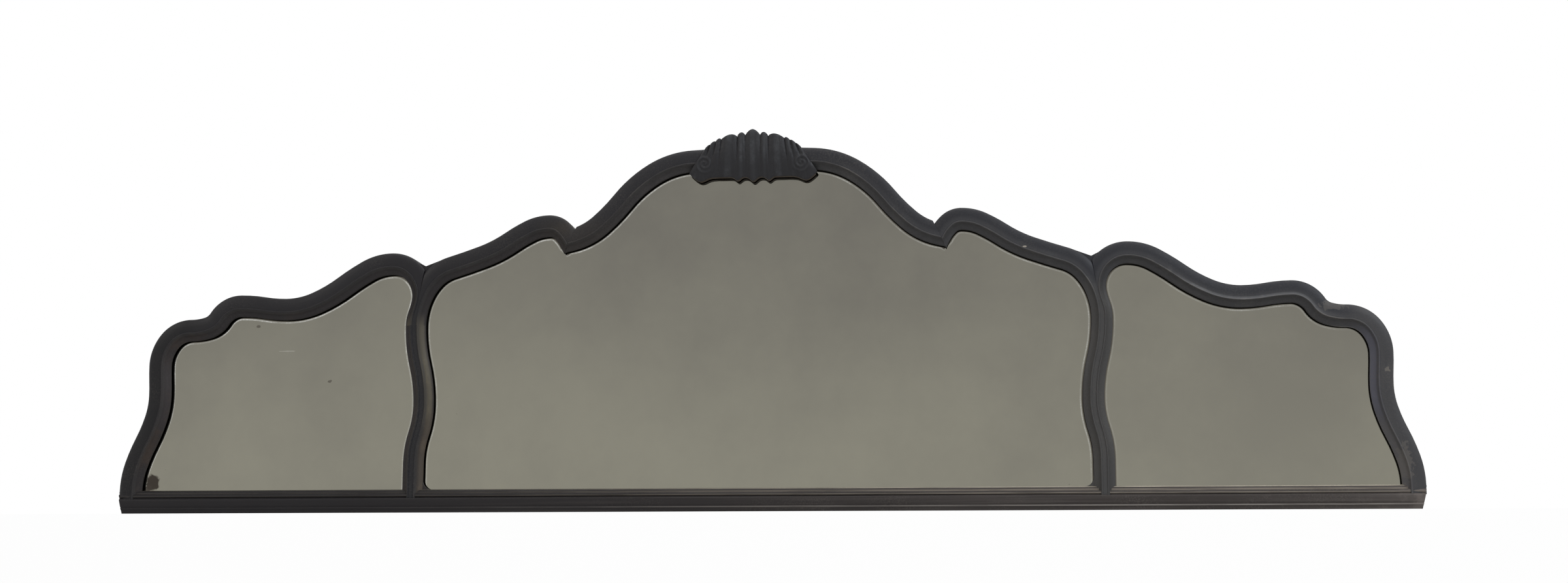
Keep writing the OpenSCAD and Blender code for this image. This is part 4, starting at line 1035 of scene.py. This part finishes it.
def crestPlace(x, v):
    # where column x and share v of the height lie on the shell, how far it stands out there, and its crowns
    f = abs(x) / crestHalf
    lowX = x + (crest["lowHalf"] - crestHalf) * (x / crestHalf) ** 3
    side = crest["lobes"][0] + crest["lobes"][1]
    middle, beside = crest["tipWidths"]
    tips = crest["tipDrop"] * (hill(lowX, middle) + crest["sideTip"] * hill(abs(lowX) - side, beside))
    curl = crest["curl"] * hill(abs(lowX) - crest["lowHalf"] + crest["curlIn"], crest["curlWidth"])
    lowZ = crest["lowZ"] + crest["cornerRise"] * f ** crest["cornerPower"] - tips - curl
    depth = crest["scallop"] * max(0, 1 - f * f) ** 1.5
    rib = lobeAt(x)
    rise = (crest["topZ"] - crest["sideZ"] - crest["peak"]) * (1 - f ** crest["archPower"])
    rise += crest["peak"] * hill(x, crest["peakWidth"])
    topZ = crest["sideZ"] + rise - depth * (1 - rib ** crest["grooveSoftness"])
    px, pz = lowX + v * (x - lowX), lowZ + v * (topZ - lowZ)
    toScroll = (abs(px) - crest["lowHalf"] + crest["scrollIn"], pz - crest["lowZ"] - crest["scrollUp"])
    inside = hill(sqrt(toScroll[0] ** 2 + toScroll[1] ** 2), crest["scrollRadius"] * crest["scrollClear"])
    ridge = scrollRidge(*toScroll)
    relief = crest["edge"] + crest["swell"] * (1 - f ** 3) * sin(radians(30 + 120 * v))
    relief += crest["rib"] * rib ** crest["ribSoftness"] * (1 - inside) * min(1, 0.35 + 1.1 * v)
    relief += crest["scroll"] * ridge
    # tool marks along the flutes, and finer ones all over
    relief += crest["coarseMarks"] * noise.noise((px * 0.9, pz * 0.16, 3))
    relief += crest["fineMarks"] * noise.noise((px * 0.35, pz * 0.35, 8))
    return px, pz, relief, max(rib * (1 - inside), ridge ** 2)


def makeCrest():
    bm = startPiece()
    crownLayer, footLayer = bm.verts.layers.float.new("crown"), bm.verts.layers.float.new("foot")
    bmesh.ops.create_grid(bm, x_segments=crest["columns"], y_segments=crest["rows"], size=0.5)
    alongLayer, acrossLayer = bm.verts.layers.float["along"], bm.verts.layers.float["across"]
    for v in bm.verts:
        x, share = v.co.x * 2 * crestHalf, v.co.y + 0.5
        px, pz, relief, crown = crestPlace(x, share)
        fromEdge = min(share, 1 - share, (crestHalf - abs(x)) / 30) * 40
        relief -= crest["edgeDrop"] * hill(fromEdge, crest["edgeWidth"])
        thick = (moulding["ridge"] - crest["seat"] - relief) * (1 - crest["footTaper"] * (1 - share) ** 4)
        v.co = Vector((px * mm, (crest["seat"] + thick) * mm, pz * mm))
        v[alongLayer], v[acrossLayer], v[crownLayer] = px, pz, crown
    backRim, fresh = carryOn(bm, [e for e in bm.edges if e.is_boundary])
    for v in fresh:
        v.co.y = crest["seat"] * mm
        v[crownLayer] = 0
        # the foot layer marks where the underside is painted lighter
        v[footLayer] = hill(max(0, v.co.z / mm - crest["lowZ"]), crest["footShade"])
    closeRims(bm, backRim)
    # below the arch the foot goes back to the glass
    shell = set(bm.verts)
    reach = crest["lowHalf"] - crest["footIn"]
    foot = [crestPlace(x, 0)[:2] for x in range(-int(crestHalf), int(crestHalf) + 1)]
    foot = [(x, z) for x, z in foot if abs(x) < reach]
    foot += [(foot[-1][0], crest["footTop"]), (foot[0][0], crest["footTop"])]
    plateOf(bm, foot, crest["seat"] - crest["seatGap"], crest["footBack"], 0, 0)
    for v in set(bm.verts) - shell:
        v[footLayer] = 1
    finishPiece(bm, "crestShell", crestTimber, "crest_carving", sharp=50)


makeCrest()
print("crest carved")

# mirror plates: the outline reaches under the lip, and rings set in from it carry the distance from the sight
# edge; the silvering lies behind the glass, and shows through it at two thirds of its depth
plates = {"under": 4.0, "silverAt": 2.65, "thick": 1.35, "seat": 0.2, "rings": [4.0, 3.8], "merge": 0.05}
floorRun = moulding["rebate"] - plates["seat"]  # how far the plates stand below the top of the base rail


def lineEdges(bm, arcs, off, startRun=0.0, endRun=0.0):
    # spins one point along the arcs, off to the left of their line
    p, heading, runs = runsOf(arcs, startRun, endRun)
    p = p + leftOf(headingVector(heading)) * off - headingVector(heading) * startRun
    tip = bm.verts.new((p.x * mm, (glassDepth + plates["silverAt"]) * mm, p.y * mm))
    made = [tip]
    for centre, radius, angle, turn in runs:
        if radius == 0:
            way = headingVector(heading if angle is None else angle)
            tip = bmesh.ops.extrude_vert_indiv(bm, verts=[tip])["verts"][0]
            bmesh.ops.translate(bm, vec=(way.x * turn * mm, 0, way.y * turn * mm), verts=[tip])
            made.append(tip)
            continue
        steps = max(2, ceil(abs(turn) / moulding["turnStep"]))
        for i in range(steps):
            tip = vertsOf(spinStep(bm, [tip], centre, turn / steps))[0]
            made.append(tip)
        heading = headingAfter(angle + turn, radius)
    return made


def finishPlate(bm, name, side):
    rimLayer = bm.verts.layers.float.new("rim")
    bmesh.ops.remove_doubles(bm, verts=bm.verts, dist=plates["merge"] * mm)
    bmesh.ops.contextual_create(bm, geom=bm.edges[:])
    reached = -plates["under"]
    for v in bm.verts:
        v[rimLayer] = reached
    for width in plates["rings"]:
        inner = max(bm.faces, key=lambda f: f.calc_area())
        bmesh.ops.inset_region(bm, faces=[inner], thickness=width * mm, use_even_offset=False, use_boundary=True)
        reached += width
        for v in max(bm.faces, key=lambda f: f.calc_area()).verts:
            v[rimLayer] = reached
    fresh = vertsOf(bmesh.ops.extrude_face_region(bm, geom=bm.faces[:])["geom"])
    bmesh.ops.translate(bm, vec=(0, plates["thick"] * mm, 0), verts=fresh)
    if side == "left":
        flipAcross(bm, bm.verts)
    finishPiece(bm, side + name, mirrorSilver, side + "_mirror_plate", 20)


def makeWingPlate(side):
    bm = bmesh.new()
    edge = lineEdges(bm, arcsOf("stile", "wing", "outerArm"), halfRail - plates["under"], startRun=floorRun)
    stem = lineEdges(bm, arcsOf("mullion"), plates["under"] - halfMullion, startRun=floorRun)
    bm.edges.new((edge[0], stem[0]))
    bm.edges.new((edge[-1], stem[-1]))
    finishPlate(bm, "SilveredPlate", side)


def makeCentrePlate():
    bm = bmesh.new()
    under = halfRail - plates["under"]
    lineEdges(bm, arcsOf("mullion"), halfMullion - plates["under"], startRun=floorRun)
    cutChain(bm, lineEdges(bm, arcsOf("innerArm", "shoulder"), under, endRun=moulding["notchRun"]), True)
    cutChain(bm, lineEdges(bm, arcsOf("arch"), under, startRun=moulding["notchRun"]), False)
    bmesh.ops.remove_doubles(bm, verts=bm.verts, dist=plates["merge"] * mm)
    addOtherHalf(bm, plates["merge"] * mm)
    joinEnds(bm)
    finishPlate(bm, "SilveredPlate", "centre")


def cutChain(bm, chain, keepLeft):
    # ends a chain of edges on the mitre line of the notch
    edges = [e for e in bm.edges if all(v in chain for v in e.verts)]
    bisectAt(bm, Vector(moulding["notchValley"]), Vector(moulding["notchHook"]), keepLeft, chain + edges)


def joinEnds(bm):
    # joins the open ends of the chains to their nearest neighbours
    while True:
        ends = [v for v in bm.verts if len(v.link_edges) == 1]
        if len(ends) < 2:
            return
        pairs = sorted(((p.co - q.co).length, i, j) for i, p in enumerate(ends) for j, q in enumerate(ends) if i < j)
        bm.edges.new((ends[pairs[0][1]], ends[pairs[0][2]]))


for side in ("left", "right"):
    makeWingPlate(side)
makeCentrePlate()
print("plates silvered")

# the back: boards, blocks, pins and hangers keep their solids
finishOf = {"timber": mouldingTimber, "mirror": mirrorSilver, "backboard": backFinishes["backboardTimber"],
            "softwood": backFinishes["softwood"], "pin_steel": backFinishes["pinSteel"],
            "hanger_brass": backFinishes["hangerBrass"]}
slotOf = {part["node"]: part["material_slot"] for part in frame["record"]["subparts"]}
for node, thing in frame["nodes"].items():
    thing.data.materials.clear()
    thing.data.materials.append(finishOf[slotOf[node]])
print("backs, pins and hangers finished")
